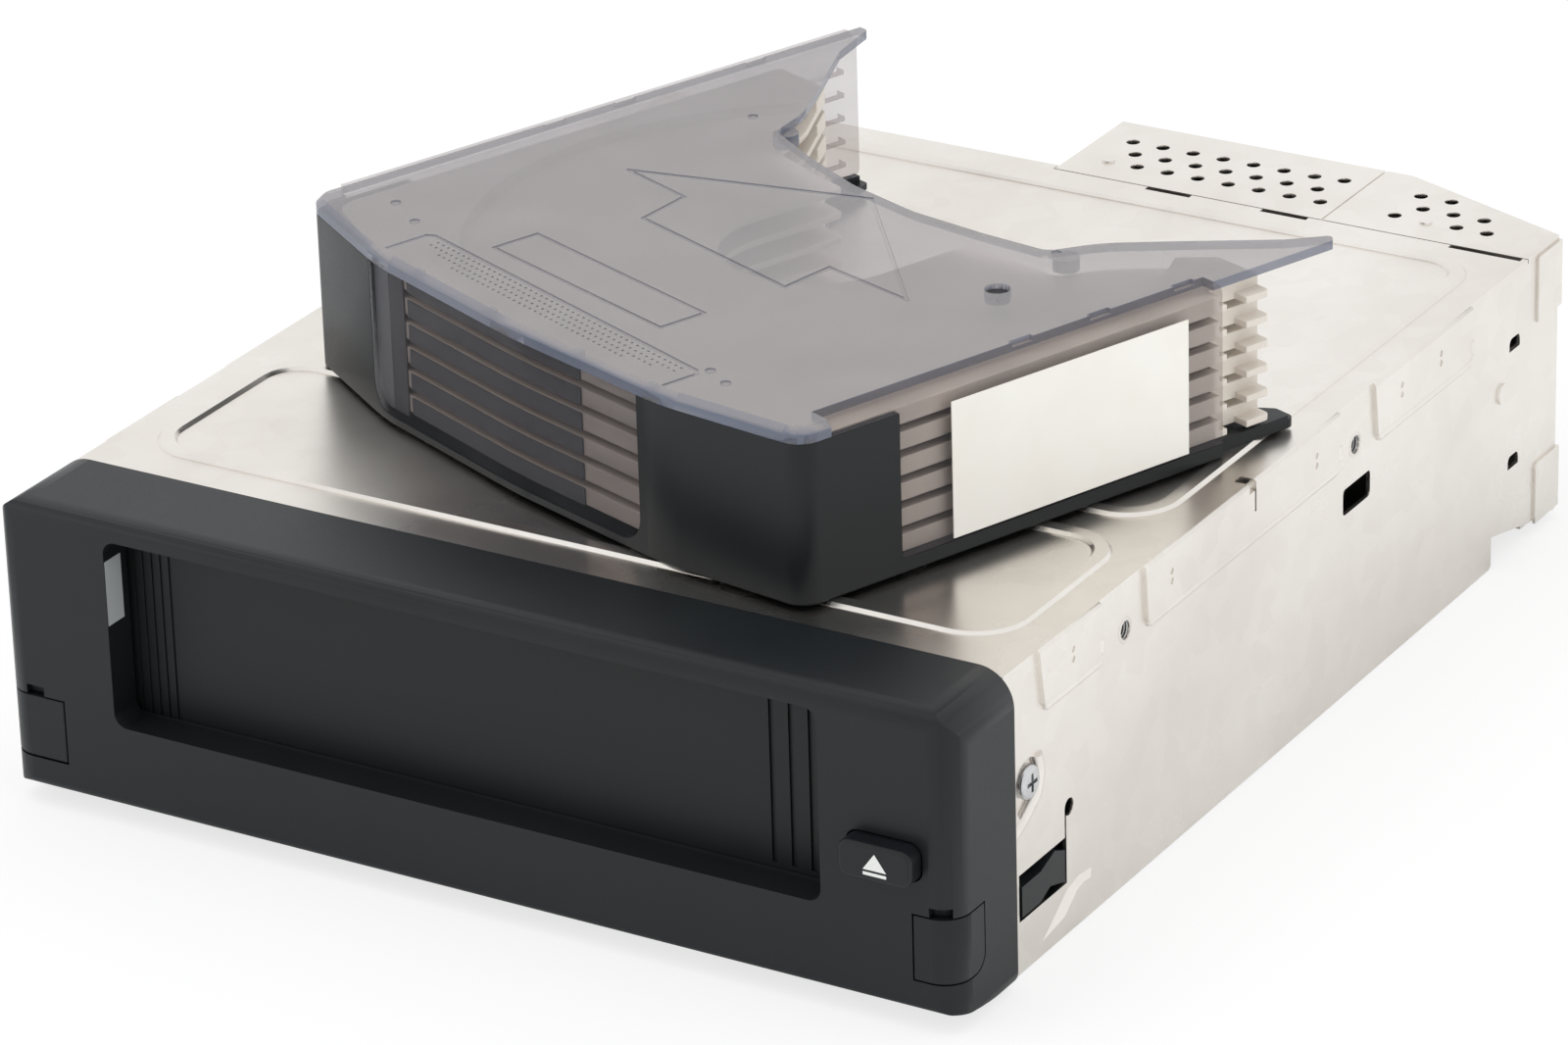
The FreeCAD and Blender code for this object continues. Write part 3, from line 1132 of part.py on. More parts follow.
def make_eject_slider():
    """Flat slider beside the bay whose pusher at the back moves the magazine out."""
    z0 = OPENING_Z + GAP
    plate = block(SLIDER_X - 3.5, SLIDER_X + 3.5, 70.0, PUSHER_Y + 3.0, z0, z0 + SLIDER_T)
    pusher = block(SLIDER_X - 3.5, PUSHER_TIP, PUSHER_Y, PUSHER_Y + 3.0, 22.6, 27.4)
    riser = block(SLIDER_X - 3.5, SLIDER_X + 3.5, PUSHER_Y, PUSHER_Y + 3.0, z0, 27.4)
    tab_up = block(SLIDER_X - 2.5, SLIDER_X + 2.5, SPRING_Y[1], SPRING_Y[1] + 1.5, z0, 27.0)
    slots = []
    for y in SLIDER_PINS:
        outline = rectangle(SLIDER_X - PIN_R - 0.1, SLIDER_X + PIN_R + 0.1, y - PIN_R - 0.1,
                            y + SLIDER_TRAVEL + PIN_R + 0.1, PIN_R)
        slots.append(prism(outline, "Z", z0 - 1, SLIDER_T + 2))
    return cut(join([plate, pusher, riser, tab_up]), slots)


def make_eject_spring():
    """Compression spring that pushes the eject slider back, as a coil along the slider."""
    radius = 1.5
    wire = 0.25
    length = SPRING_Y[1] - SPRING_Y[0]
    helix = Part.makeHelix(2.2, length - 2 * wire, radius)
    profile = Part.Wire([Part.makeCircle(wire, Vector(radius, 0, 0), Vector(0, 1, 0.1))])
    coil = Part.Wire(helix.Edges).makePipeShell([profile], True, True)
    coil.rotate(Vector(0, 0, 0), Vector(1, 0, 0), -90)
    coil.translate(Vector(SLIDER_X, SPRING_Y[0] + wire, 24.0))
    return coil


# ================================================================ circuit board
def make_main_board():
    """Main circuit board under the bay."""
    z = board_z()
    board = block(BOARD_X[0], BOARD_X[1], BOARD_Y[0], BOARD_Y[1], z, z + BOARD_T)
    return board


def make_board_components():
    """Chips, capacitors, a crystal and connectors on the main board."""
    top = board_z() + BOARD_T
    pieces = []
    for x0, y0, wide, deep, tall in BOARD_PARTS:
        pieces.append(block(x0, x0 + wide, y0, y0 + deep, top, top + tall))
    for x, y, radius, tall in BOARD_CANS:
        pieces.append(rod("Z", x, y, top, radius, tall))
    return group(pieces)


# ================================================================ lift drive
def make_cam_rail_pair():
    """Two channels on the side plates that guide the upper edges of the cam plates."""
    rail = block(DECK_HALF + GAP, INNER_X, CAM_RAIL_FRONT, CHASSIS_BACK - 1.5, RAIL_GROOVE_Z, CAM_RAIL_TOP)
    groove = block(CAM_X - SLIDE_GAP, CAM_X + CAM_T + SLIDE_GAP, CAM_RAIL_FRONT - 1, CHASSIS_BACK,
                   RAIL_GROOVE_Z - 1, CAM_TOP + GAP)
    relief = block(INNER_X - COLLAR_DEEP - 1, INNER_X + 1, HOLE_BACK - 4, HOLE_BACK + 4, RAIL_GROOVE_Z - 1,
                   CAM_RAIL_TOP + 1)
    rail = cut(rail, [groove, relief])
    return group([rail, mirror_x(rail)])


def rack_pitch_z():
    """Height of the cam plates' rack pitch line."""
    return SHAFT_Z + PINION_TEETH * RACK_MODULE / 2


def make_cam_plate(side):
    """Cam plate with two slanted slots that lift the deck's pins and a rack along its lower edge."""
    low = rack_pitch_z()
    root = low + 1.15 * RACK_MODULE
    pitch = math.pi * RACK_MODULE
    plate = prism(rectangle(CAM_FRONT, CAM_BACK, root, CAM_TOP, 1.0), "X", CAM_X, CAM_T)
    teeth = [(y, low - h) for y, h in rack_teeth(18, RACK_MODULE, SHAFT_Y - 3 * pitch)]
    teeth = teeth + [(teeth[-1][0], root + 0.6), (teeth[0][0], root + 0.6)]
    body = join([plate, prism(teeth, "X", CAM_X, CAM_T)])
    slots = []
    slope = math.atan2(DECK_TRAVEL, CAM_RUN)
    half = PIN_R + 0.08
    length = math.hypot(DECK_TRAVEL, CAM_RUN)
    for y in PIN_Y:
        bar = Part.makeBox(CAM_T + 2, length, 2 * half, Vector(CAM_X - 1, 0, -half))
        ends = [rod("X", CAM_X - 1, reach, 0, half, CAM_T + 2) for reach in (0, length)]
        slot = join([bar] + ends)
        slot.rotate(Vector(0, 0, 0), Vector(1, 0, 0), math.degrees(slope))
        slot.translate(Vector(0, y, PIN_Z))
        slots.append(slot)
    body = cut(body, slots)
    return body if side > 0 else mirror_x(body)


def make_sync_shaft():
    """Shaft that keeps the two cam plates together."""
    return rod("X", -SHAFT_HALF, SHAFT_Y, SHAFT_Z, SHAFT_R, 2 * SHAFT_HALF)


def make_sync_pinions():
    """Pinions at both ends of the shaft, each under one rack, with a tooth upright."""
    width = CAM_T + 1.4
    pinion = gear("X", CAM_X - 0.7, SHAFT_Y, SHAFT_Z, PINION_TEETH, RACK_MODULE, width, SHAFT_R, math.pi / 2)
    return group([pinion, mirror_x(pinion)])


def make_shaft_gear():
    """Gear of the shaft that meets the lift motor's pinion, a tooth towards it."""
    return gear("X", GEAR_X - GEAR_W / 2, SHAFT_Y, SHAFT_Z, GEAR_TEETH, GEAR_MODULE, GEAR_W, SHAFT_R, math.pi)


def lift_motor_y():
    """Depth of the lift motor's shaft."""
    return SHAFT_Y - (GEAR_TEETH + MOTOR_TEETH) * GEAR_MODULE / 2


def make_elevator_pinion():
    """Pinion on the lift motor's shaft, a tooth space towards the gear."""
    phase = math.pi / MOTOR_TEETH
    return gear("X", GEAR_X - GEAR_W / 2, lift_motor_y(), SHAFT_Z, MOTOR_TEETH, GEAR_MODULE, GEAR_W,
                MOTOR_SHAFT_R + RUN_GAP, phase)


def make_elevator_motor():
    """Lift motor lying on the chassis floor, flat on two sides to clear the long shaft."""
    y = lift_motor_y()
    face = GEAR_X - 4.0
    flat = SHAFT_Y - SHAFT_R - GAP - y
    can = rod("X", face - 20.0, y, SHAFT_Z, SHAFT_Z - SHEET, 20.0)
    can = can.common(block(face - 20, face, y - flat, y + flat, 0, 2 * SHAFT_Z))
    nose = rod("X", face, y, SHAFT_Z, 1.2, 1.5)
    shaft = rod("X", face, y, SHAFT_Z, MOTOR_SHAFT_R, 6.5)
    return join([can, nose, shaft])


def make_shaft_bearings():
    """Two bearing blocks of the shaft, on the chassis floor."""
    x = CAM_X - 8.0
    post = block(x - 2, x + 2, SHAFT_Y - 3, SHAFT_Y + 3, SHEET, 10.0)
    post = post.cut(rod("X", x - 2.5, SHAFT_Y, SHAFT_Z, SHAFT_R + RUN_GAP, 5))
    return group([post, mirror_x(post)])


# ================================================================ deck
def make_deck_frame():
    """Deck plate with its tongue, side walls, lift pins, rod posts, puller ledge and screw lugs."""
    z0 = DECK_Z
    z1 = DECK_Z + DECK_T
    half = DECK_HALF
    plate = prism([(-half, DECK_FRONT + 3), (-30, DECK_FRONT + 3, 2),
                   (-30, 118, 3), (28, 118, 3), (28, DECK_FRONT, 2), (half, DECK_FRONT), (half, DECK_BACK),
                   (-half, DECK_BACK)], "Z", z0, DECK_T)
    added = [plate]
    for side, front in ((-1, DECK_FRONT + 3), (1, DECK_FRONT)):
        wall = block(half - 1, half, front, DECK_BACK, 14.3, 19.5)
        pins = [rod("X", half - 0.5, y, PIN_Z, PIN_R, PIN_END - half + 0.5) for y in PIN_Y]
        added += [s if side > 0 else mirror_x(s) for s in [wall] + pins]
    for x in ROD_X:
        for y in (153.0, 203.0):
            added.append(block(x - 1.8, x + 1.8, y, y + 2.0, z1 - 0.1, ROD_Z + 1.6))
    for x0, x1 in ((-27.5, -24.5), (25.0, 28.0)):
        added.append(block(x0, x1, 200.8, DECK_BACK, z1 - 0.1, ARM_PIVOT[1] + 2.2))
    added.append(block(PULLER_X - 2.5, PULLER_X + 1.9, DECK_FRONT + 0.6, DECK_BACK - 1,
                       z1 - 0.1, PULLER_Z[0] - GAP))
    for y in (153.0, 203.0):
        added.append(block(SCREW_X - 2.6, SCREW_X + 2.6, y, y + 2.0, SCREW_Z - 2.4, z0 + 0.1))
    body = join(added)
    ear = (SCREW_X - EAR_HALF - 0.5, SCREW_X + EAR_HALF + 0.5)
    tools = [rod("Z", OPENING_X, SPINDLE_Y, z0 - 1, 3.5, DECK_T + 2),
             block(ear[0], ear[1], SLED_Y - 3.6, SLED_Y + SLED_TRAVEL + 3.6, z0 - 1, z1 + 0.5),
             rod("Z", puller_gear_x(), PULLER_GEAR_Y, z0 - 1, 2.0, DECK_T + 2)]
    for x in ROD_X:
        tools.append(rod("Y", x, 152.5, ROD_Z, ROD_R, 53))
    tools.append(rod("Y", SCREW_X, 152, SCREW_Z, JOURNAL_R + RUN_GAP, 54))
    tools.append(rod("X", -30, ARM_PIVOT[0], ARM_PIVOT[1], ARM_PIVOT_R, 60))
    return cut(body, tools)


def make_spindle_motor():
    """Spindle motor under the deck's tongue, with its shaft."""
    can = rod("Z", OPENING_X, SPINDLE_Y, 8.0, 9.0, DECK_Z - 8.0)
    shaft = rod("Z", OPENING_X, SPINDLE_Y, DECK_Z - 0.5, 1.0, 5.5)
    return join([can, shaft])


def make_turntable():
    """Turntable with its centring hub, on the spindle motor's shaft."""
    low = DECK_Z + DECK_T + 1.6
    disc = rod("Z", OPENING_X, SPINDLE_Y, low, TURNTABLE_R, DISC_Z - low)
    hub = Part.makeCone(7.4, 6.9, 1.0, Vector(OPENING_X, SPINDLE_Y, DISC_Z), Vector(0, 0, 1))
    return join([disc, hub]).cut(rod("Z", OPENING_X, SPINDLE_Y, low - 1, 1.0 + RUN_GAP, 4.5))


def make_guide_rods():
    """Two polished rods that carry the pickup sled."""
    return group([rod("Y", x, 153.0, ROD_Z, ROD_R, 52.0) for x in ROD_X])


def make_pickup_sled():
    """Pickup sled on the guide rods, with an ear round the lead screw."""
    y0 = SLED_Y - SLED_LEN / 2
    top = ROD_Z + 1.9
    body = block(ROD_X[0] - 2.6, ROD_X[1] + 2.6, y0, y0 + SLED_LEN, DECK_Z + DECK_T + GAP, top)
    ear = block(SCREW_X - EAR_HALF, SCREW_X + EAR_HALF, SLED_Y - 3, SLED_Y + 3, SCREW_Z - 2.2, top - 1.2)
    link = block(ROD_X[1] + 2, SCREW_X, SLED_Y - 3, SLED_Y + 3, DECK_Z + DECK_T + GAP, top - 1.2)
    sled = join([body, ear, link])
    tools = [rod("Y", x, y0 - 1, ROD_Z, ROD_R + RUN_GAP, SLED_LEN + 2) for x in ROD_X]
    tools.append(rod("Y", SCREW_X, SLED_Y - 4, SCREW_Z, LEAD_R + 0.1, 8))
    tools.append(rod("Z", OPENING_X, SLED_Y, top - 0.6, 3.2, 2))
    return cut(sled, tools)


def make_pickup_lens():
    """Objective lens in the sled's round recess."""
    top = ROD_Z + 1.9
    return rod("Z", OPENING_X, SLED_Y, top - 0.6, 2.2, 1.0)


def make_lead_screw():
    """Lead screw as a rod with ring grooves, running in the deck's lugs."""
    screw_rod = rod("Y", SCREW_X, 155.3, SCREW_Z, LEAD_R, 47.4)
    ends = rod("Y", SCREW_X, 152.7, SCREW_Z, JOURNAL_R, 52.2)
    grooves = []
    for i in range(15):
        ring = rod("Y", SCREW_X, 156.5 + i * LEAD_PITCH, SCREW_Z, LEAD_R + 0.5, 1.4)
        grooves.append(ring.cut(rod("Y", SCREW_X, 156.0 + i * LEAD_PITCH, SCREW_Z, LEAD_R - 0.3, 2.4)))
    return cut(join([screw_rod, ends]), grooves)


def make_sled_motor():
    """Small motor under the deck's tongue that drives the lead screw."""
    radius = DECK_Z - SCREW_Z
    return rod("Y", SCREW_X, 139.5, SCREW_Z, radius, 12.9)


def puller_gear_x():
    """x of the puller pinion's axis, beside the bar's rack."""
    return PULLER_X + PULLER_W / 2 + PULLER_TEETH * GEAR_MODULE / 2


def make_puller_bar():
    """Rack bar with the hook that draws a tray by its lug."""
    x0 = PULLER_X - PULLER_W / 2
    pitch_x = PULLER_X + PULLER_W / 2
    root = pitch_x - 1.15 * GEAR_MODULE
    pitch = math.pi * GEAR_MODULE
    y0 = PULLER_GEAR_Y - TRAY_TRAVEL - 2.5
    y1 = PULLER_GEAR_Y + 2.5
    bar = block(x0, root, y0, y1, *PULLER_Z)
    count = int((y1 - y0) / pitch) - 1
    first = PULLER_GEAR_Y - (count - 1) * pitch
    teeth = [(pitch_x + h, y) for y, h in rack_teeth(count, GEAR_MODULE, first)]
    teeth = [(root - 0.5, teeth[0][1])] + teeth + [(root - 0.5, teeth[-1][1])]
    rack = prism(teeth, "Z", PULLER_Z[0], PULLER_Z[1] - PULLER_Z[0])
    hook = block(HOOK_TIP, x0 + 0.1, HOOK_Y[0], HOOK_Y[1], PULLER_Z[0] + 0.2, PULLER_Z[0] + 1.6)
    return join([bar, rack, hook])


def make_puller_pinion():
    """Pinion of the puller bar, a tooth towards the rack."""
    return gear("Z", puller_gear_x(), PULLER_GEAR_Y, PULLER_Z[0], PULLER_TEETH, GEAR_MODULE,
                PULLER_Z[1] - PULLER_Z[0], 1.0 + RUN_GAP, math.pi)


def make_puller_motor():
    """Motor under the deck that drives the puller bar, with its shaft."""
    x = puller_gear_x()
    can = rod("Z", x, PULLER_GEAR_Y, 4.5, 3.4, DECK_Z - 4.5)
    shaft = rod("Z", x, PULLER_GEAR_Y, DECK_Z - 0.5, 1.0, PULLER_Z[1] - DECK_Z)
    return join([can, shaft])


def make_clamp_pin():
    """Hinge pin of the clamp arm."""
    return rod("X", -27.5, ARM_PIVOT[0], ARM_PIVOT[1], ARM_PIVOT_R, 55.5)


def make_clamp_arm():
    """Arm that lowers the disc clamp onto the hub."""
    y, z = ARM_PIVOT
    x = OPENING_X
    plate = prism([(x - 4, 127.5, 3), (x + 4, 127.5, 3), (x + 9, 136, 3), (x + 9, 170, 10), (24.5, 196, 3),
                   (24.5, y), (-24.0, y), (-24.0, 196, 3), (x - 9, 170, 10), (x - 9, 136, 3)],
                  "Z", ARM_Z_LOW, ARM_T)
    knuckles = [rod("X", x0, y, z, 2.0, 6.0) for x0 in (-24.0, 18.5)]
    body = join([plate] + knuckles)
    tools = [rod("X", -26, y, z, ARM_PIVOT_R + RUN_GAP, 52), block(-18.0, 18.5, y - 3, y + 3, 20, 32),
             rod("Z", x, SPINDLE_Y, 20, CLAMP_STEM_R + 0.1, 12)]
    return cut(body, tools)


def make_disc_clamp():
    """Free-turning clamp under the arm, held by its headed stem."""
    puck = rod("Z", OPENING_X, SPINDLE_Y, CLAMP_LOW, CLAMP_R, 1.4)
    stem = rod("Z", OPENING_X, SPINDLE_Y, CLAMP_LOW, CLAMP_STEM_R, 3.7)
    head = rod("Z", OPENING_X, SPINDLE_Y, ARM_Z_LOW + ARM_T + GAP, 2.6, 0.6)
    return join([puck, stem, head])


# ================================================================ output
def main():
    """Builds every piece and writes one STEP file for each."""
    os.makedirs("parts", exist_ok=True)
    pieces = {
        "fascia": make_fascia, "recess_pad": make_recess_pad, "eject_switch": make_eject_switch,
        "screw_cover_left": lambda: make_screw_cover(COVER_LEFT_IN),
        "screw_cover_right": lambda: make_screw_cover(COVER_RIGHT_IN),
        "eject_button": make_eject_button,
        "door_tracks": make_door_tracks, "door_leading_edge": make_door_edge, "door_sheet": make_door_sheet,
        "top_cover": make_top_cover, "rear_cover": make_rear_cover, "base_plate": make_base_plate,
        "side_plate_right": make_side_plate_right, "side_plate_left": make_side_plate_left,
        "rear_plate": make_rear_plate, "chassis_screws": make_screws, "rear_connector": make_rear_connector,
        "bay_floor": make_bay_floor, "bay_rail_right": make_bay_rail_right,
        "bay_rail_left": make_bay_rail_left,
        "eject_slider": make_eject_slider, "eject_spring": make_eject_spring,
        "main_board": make_main_board, "board_components": make_board_components,
        "cam_rails": make_cam_rail_pair, "cam_plate_right": lambda: make_cam_plate(1),
        "cam_plate_left": lambda: make_cam_plate(-1),
        "sync_shaft": make_sync_shaft, "sync_pinions": make_sync_pinions, "shaft_gear": make_shaft_gear,
        "shaft_bearings": make_shaft_bearings, "elevator_motor": make_elevator_motor,
        "elevator_pinion": make_elevator_pinion,
        "deck_frame": make_deck_frame, "spindle_motor": make_spindle_motor, "turntable": make_turntable,
        "guide_rods": make_guide_rods, "pickup_sled": make_pickup_sled, "pickup_lens": make_pickup_lens,
        "lead_screw": make_lead_screw, "sled_motor": make_sled_motor, "puller_bar": make_puller_bar,
        "puller_pinion": make_puller_pinion, "puller_motor": make_puller_motor,
        "clamp_hinge_pin": make_clamp_pin, "clamp_arm": make_clamp_arm, "disc_clamp": make_disc_clamp,
        "magazine_base": make_magazine_base, "magazine_lid": make_magazine_lid,
        "magazine_front_window": make_magazine_window, "magazine_side_right": make_magazine_side_right,
        "magazine_side_left": make_magazine_side_left, "magazine_label": make_magazine_label,
    }
    for name, build in pieces.items():
        save(name, build())
    for i in range(TRAY_COUNT):
        save(f"tray_{i + 1}", make_tray(i))


main()
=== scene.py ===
"""Looks of a dashboard disc changer and its six-disc magazine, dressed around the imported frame.

Every length is in metres in the row frame unless a name ends in _mm.
"""

import logging
import math
import random
from dataclasses import dataclass
from enum import Enum
from typing import Iterable, Optional

import bmesh
import bpy
from bpy.types import Material, Node, NodeSocket, NodeTree, Object
from mathutils import Matrix, Vector


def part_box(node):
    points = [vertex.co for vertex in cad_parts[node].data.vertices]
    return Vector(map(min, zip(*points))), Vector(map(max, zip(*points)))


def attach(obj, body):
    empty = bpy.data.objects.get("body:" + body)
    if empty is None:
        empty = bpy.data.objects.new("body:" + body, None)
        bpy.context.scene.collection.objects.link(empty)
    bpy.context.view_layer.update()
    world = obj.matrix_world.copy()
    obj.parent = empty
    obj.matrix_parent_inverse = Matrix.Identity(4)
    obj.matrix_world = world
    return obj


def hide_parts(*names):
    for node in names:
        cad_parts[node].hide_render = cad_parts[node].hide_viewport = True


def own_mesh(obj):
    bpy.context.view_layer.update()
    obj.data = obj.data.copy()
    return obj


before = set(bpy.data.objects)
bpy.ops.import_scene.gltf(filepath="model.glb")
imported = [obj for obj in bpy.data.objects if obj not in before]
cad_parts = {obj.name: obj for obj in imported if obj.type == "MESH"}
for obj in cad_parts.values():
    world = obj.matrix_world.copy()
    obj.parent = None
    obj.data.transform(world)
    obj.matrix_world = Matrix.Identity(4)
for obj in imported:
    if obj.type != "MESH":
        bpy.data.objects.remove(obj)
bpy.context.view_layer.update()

LOG = logging.getLogger("changer")
MM = 0.001
ORIGIN_DEPTH_MM = 60.0  # depth of the row frame's origin behind the fascia's face
TRAYS = 6
WELD_MM = 0.002  # corners closer than this are one corner
FLAT_TURN = 0.6  # faces that turn less than this many degrees are one face
ROUNDED_TURN = 40.0  # edges that turn more than this many degrees are rounded
ROUNDED_FACETS = 2
FIRST_TONE, SECOND_TONE, TONE_OUT = 6, 7, 2  # the colour sockets of a mix node


def hex_colour(text: str) -> tuple[float, float, float, float]:
    """Turns an sRGB hex value into linear colour.

    Args:
        text: Six hex digits, with or without a leading #.

    Returns:
        Linear red, green, blue and an alpha of 1.
    """
    digits = text.lstrip("#")
    shares = [int(digits[i:i + 2], 16) / 255 for i in (0, 2, 4)]
    linear = [s / 12.92 if s <= 0.04045 else ((s + 0.055) / 1.055) ** 2.4 for s in shares]
    return (linear[0], linear[1], linear[2], 1.0)


def add(tree: NodeTree, kind: str, settings: Optional[dict] = None,
        links: Optional[dict] = None) -> Node:
    """Adds a node to a tree with its settings and the links that feed it.

    Args:
        tree: Tree that takes the node.
        kind: Blender's identifier of the node type.
        settings: Node properties by name, and socket values by socket name or number.
        links: Output sockets by the name or number of the input that they feed.

    Returns:
        The new node.
    """
    node = tree.nodes.new(kind)
    for key, value in (settings or {}).items():
        if isinstance(key, str) and key in node.bl_rna.properties:
            setattr(node, key, value)
        else:
            node.inputs[key].default_value = value
    for key, output in (links or {}).items():
        tree.links.new(output, node.inputs[key])
    return node


def per_metre(size_mm: float) -> float:
    """Pattern scale at which one feature is about size_mm across."""
    return 1.0 / (size_mm * MM)


def sized(size_mm: float, detail: float = 2.0) -> dict[str, float]:
    """Settings of a noise whose features are about size_mm across."""
    return {"Scale": per_metre(size_mm), "Detail": detail}


def between(low: float, high: float, start: float = 0.3, end: float = 0.7) -> dict[str, float]:
    """Settings that map start to end, where most of a noise lies, onto low to high."""
    return {"From Min": start, "From Max": end, "To Min": low, "To Max": high}


# ---------------------------------------------------------------- finishes
@dataclass(frozen=True)
class Finish:
    """What every finish has: a name, a base colour and a middle roughness."""

    name: str
    colour: str
    roughness: float

    def start(self) -> tuple[Material, NodeTree, Node, NodeSocket]:
        """Makes an empty material with a Principled shader.

        Returns:
            The material, its tree, the shader and the object coordinates.
        """
        material = bpy.data.materials.new(self.name)
        material.use_nodes = True
        tree = material.node_tree
        tree.nodes.clear()
        shader = add(tree, "ShaderNodeBsdfPrincipled", {"Base Color": hex_colour(self.colour),
                                                        "Roughness": self.roughness})
        add(tree, "ShaderNodeOutputMaterial", links={"Surface": shader.outputs[0]})
        place = add(tree, "ShaderNodeTexCoord").outputs["Object"]
        return material, tree, shader, place

    def coat(self, shader: Node, share: NodeSocket, second: str,
             gloss: Optional[NodeSocket] = None, height: Optional[NodeSocket] = None,
             deep_mm: float = 0.01, strength: float = 0.3) -> None:
        """Gives the shader its two tones, its gloss and its relief.

        Args:
            shader: Principled shader.
            share: Share of the second tone.
            second: Hex colour of the second tone.
            gloss: Roughness pattern, or None for an even one.
            height: Height pattern from 0 to 1, or None for a flat skin.
            deep_mm: Depth of the relief.
            strength: Share of the relief that shows.
        """
        tree = shader.id_data
        tones = add(tree, "ShaderNodeMix", {"data_type": "RGBA", FIRST_TONE: hex_colour(self.colour),
                                            SECOND_TONE: hex_colour(second)}, {"Factor": share})
        tree.links.new(tones.outputs[TONE_OUT], shader.inputs["Base Color"])
        if gloss is not None:
            tree.links.new(gloss, shader.inputs["Roughness"])
        if height is not None:
            bump = add(tree, "ShaderNodeBump", {"Strength": strength, "Distance": deep_mm * MM},
                       {"Height": height})
            tree.links.new(bump.outputs[0], shader.inputs["Normal"])

    def build(self) -> Material:
        """Makes the material. Each finish has its own."""
        raise NotImplementedError


@dataclass(frozen=True)
class MouldedPlastic(Finish):
    """Plastic moulded in a spark-eroded tool: a satin skin with a fine grain and a soft drift of its gloss."""

    second: str
    grain_mm: float
    grain_deep_mm: float
    drift: float = 0.05
    ior: float = 1.53
    sheen: float = 0.5
    cloud_mm: float = 24.0

    def build(self) -> Material:
        """Makes the material.

        Returns:
            The finished material.
        """
        material, tree, shader, place = self.start()
        shader.inputs["IOR"].default_value = self.ior
        shader.inputs["Specular IOR Level"].default_value = self.sheen
        cloud = add(tree, "ShaderNodeTexNoise", sized(self.cloud_mm, 3), {"Vector": place}).outputs["Fac"]
        grain = add(tree, "ShaderNodeTexNoise", sized(self.grain_mm, 1), {"Vector": place}).outputs["Fac"]
        tone = add(tree, "ShaderNodeMapRange", between(0, 1), {"Value": cloud})
        low, high = self.roughness - self.drift, self.roughness + self.drift / 2
        broad = add(tree, "ShaderNodeMapRange", between(low, high), {"Value": cloud})
        fine = add(tree, "ShaderNodeMapRange", between(0, self.drift), {"Value": grain})
        gloss = add(tree, "ShaderNodeMath", {"operation": "ADD"}, {0: broad.outputs[0], 1: fine.outputs[0]})
        self.coat(shader, tone.outputs[0], self.second, gloss.outputs[0], grain, self.grain_deep_mm, 0.35)
        return material


@dataclass(frozen=True)
class SheetSteel(Finish):
    """Hot-dip galvanised and skin-passed sheet: bright and pale, with faint spangle and handling haze."""

    second: str
    haze: float = 0.12
    haze_mm: float = 42.0
    haze_times: float = 1.6
    spangle_mm: float = 5.0
    spangle_share: float = 0.22
    wave_mm: float = 34.0
    wave_deep_mm: float = 0.3

    def build(self) -> Material:
        """Makes the material.

        Returns:
            The finished material.
        """
        material, tree, shader, place = self.start()
        shader.inputs["Metallic"].default_value = 1.0
        cells = add(tree, "ShaderNodeTexVoronoi", {"Scale": per_metre(self.spangle_mm), "Randomness": 1.0},
                    {"Vector": place})
        spangle = add(tree, "ShaderNodeSeparateColor", links={"Color": cells.outputs["Color"]}).outputs[0]
        rolled = add(tree, "ShaderNodeMapping", {"Scale": (1, 1 / self.haze_times, 1)},
                     {"Vector": place}).outputs[0]
        haze = add(tree, "ShaderNodeTexNoise", sized(self.haze_mm, 4), {"Vector": rolled}).outputs["Fac"]
        rest = 1 - self.spangle_share
        dulled = add(tree, "ShaderNodeMapRange", between(0, rest), {"Value": haze}).outputs[0]
        tone = add(tree, "ShaderNodeMath", {"operation": "MULTIPLY_ADD", 1: self.spangle_share},
                   {0: spangle, 2: dulled}).outputs[0]
        low, high = self.roughness - self.haze / 2, self.roughness + self.haze
        gloss = add(tree, "ShaderNodeMapRange", between(low, high), {"Value": haze}).outputs[0]
        wave = add(tree, "ShaderNodeTexNoise", sized(self.wave_mm, 1), {"Vector": place}).outputs["Fac"]
        self.coat(shader, tone, self.second, gloss, wave, self.wave_deep_mm)
        return material


@dataclass(frozen=True)
class TurnedMetal(Finish):
    """Turned or drawn metal, plated or bare: fine lines and a bright, slightly uneven gloss."""

    second: str
    line_mm: float = 0.25
    line_times: float = 6.0
    cloud_mm: float = 6.0
    glossier: float = 0.06
    duller: float = 0.08

    def build(self) -> Material:
        """Makes the material.

        Returns:
            The finished material.
        """
        material, tree, shader, place = self.start()
        shader.inputs["Metallic"].default_value = 1.0
        drawn = add(tree, "ShaderNodeMapping", {"Scale": (1, 1 / self.line_times, 1 / self.line_times)},
                    {"Vector": place}).outputs[0]
        lines = add(tree, "ShaderNodeTexNoise", sized(self.line_mm), {"Vector": drawn}).outputs["Fac"]
        cloud = add(tree, "ShaderNodeTexNoise", sized(self.cloud_mm), {"Vector": place}).outputs["Fac"]
        tone = add(tree, "ShaderNodeMapRange", between(0, 1), {"Value": cloud}).outputs[0]
        low, high = self.roughness - self.glossier, self.roughness + self.duller
        gloss = add(tree, "ShaderNodeMapRange", between(low, high), {"Value": lines}).outputs[0]
        self.coat(shader, tone, self.second, gloss, lines)
        return material


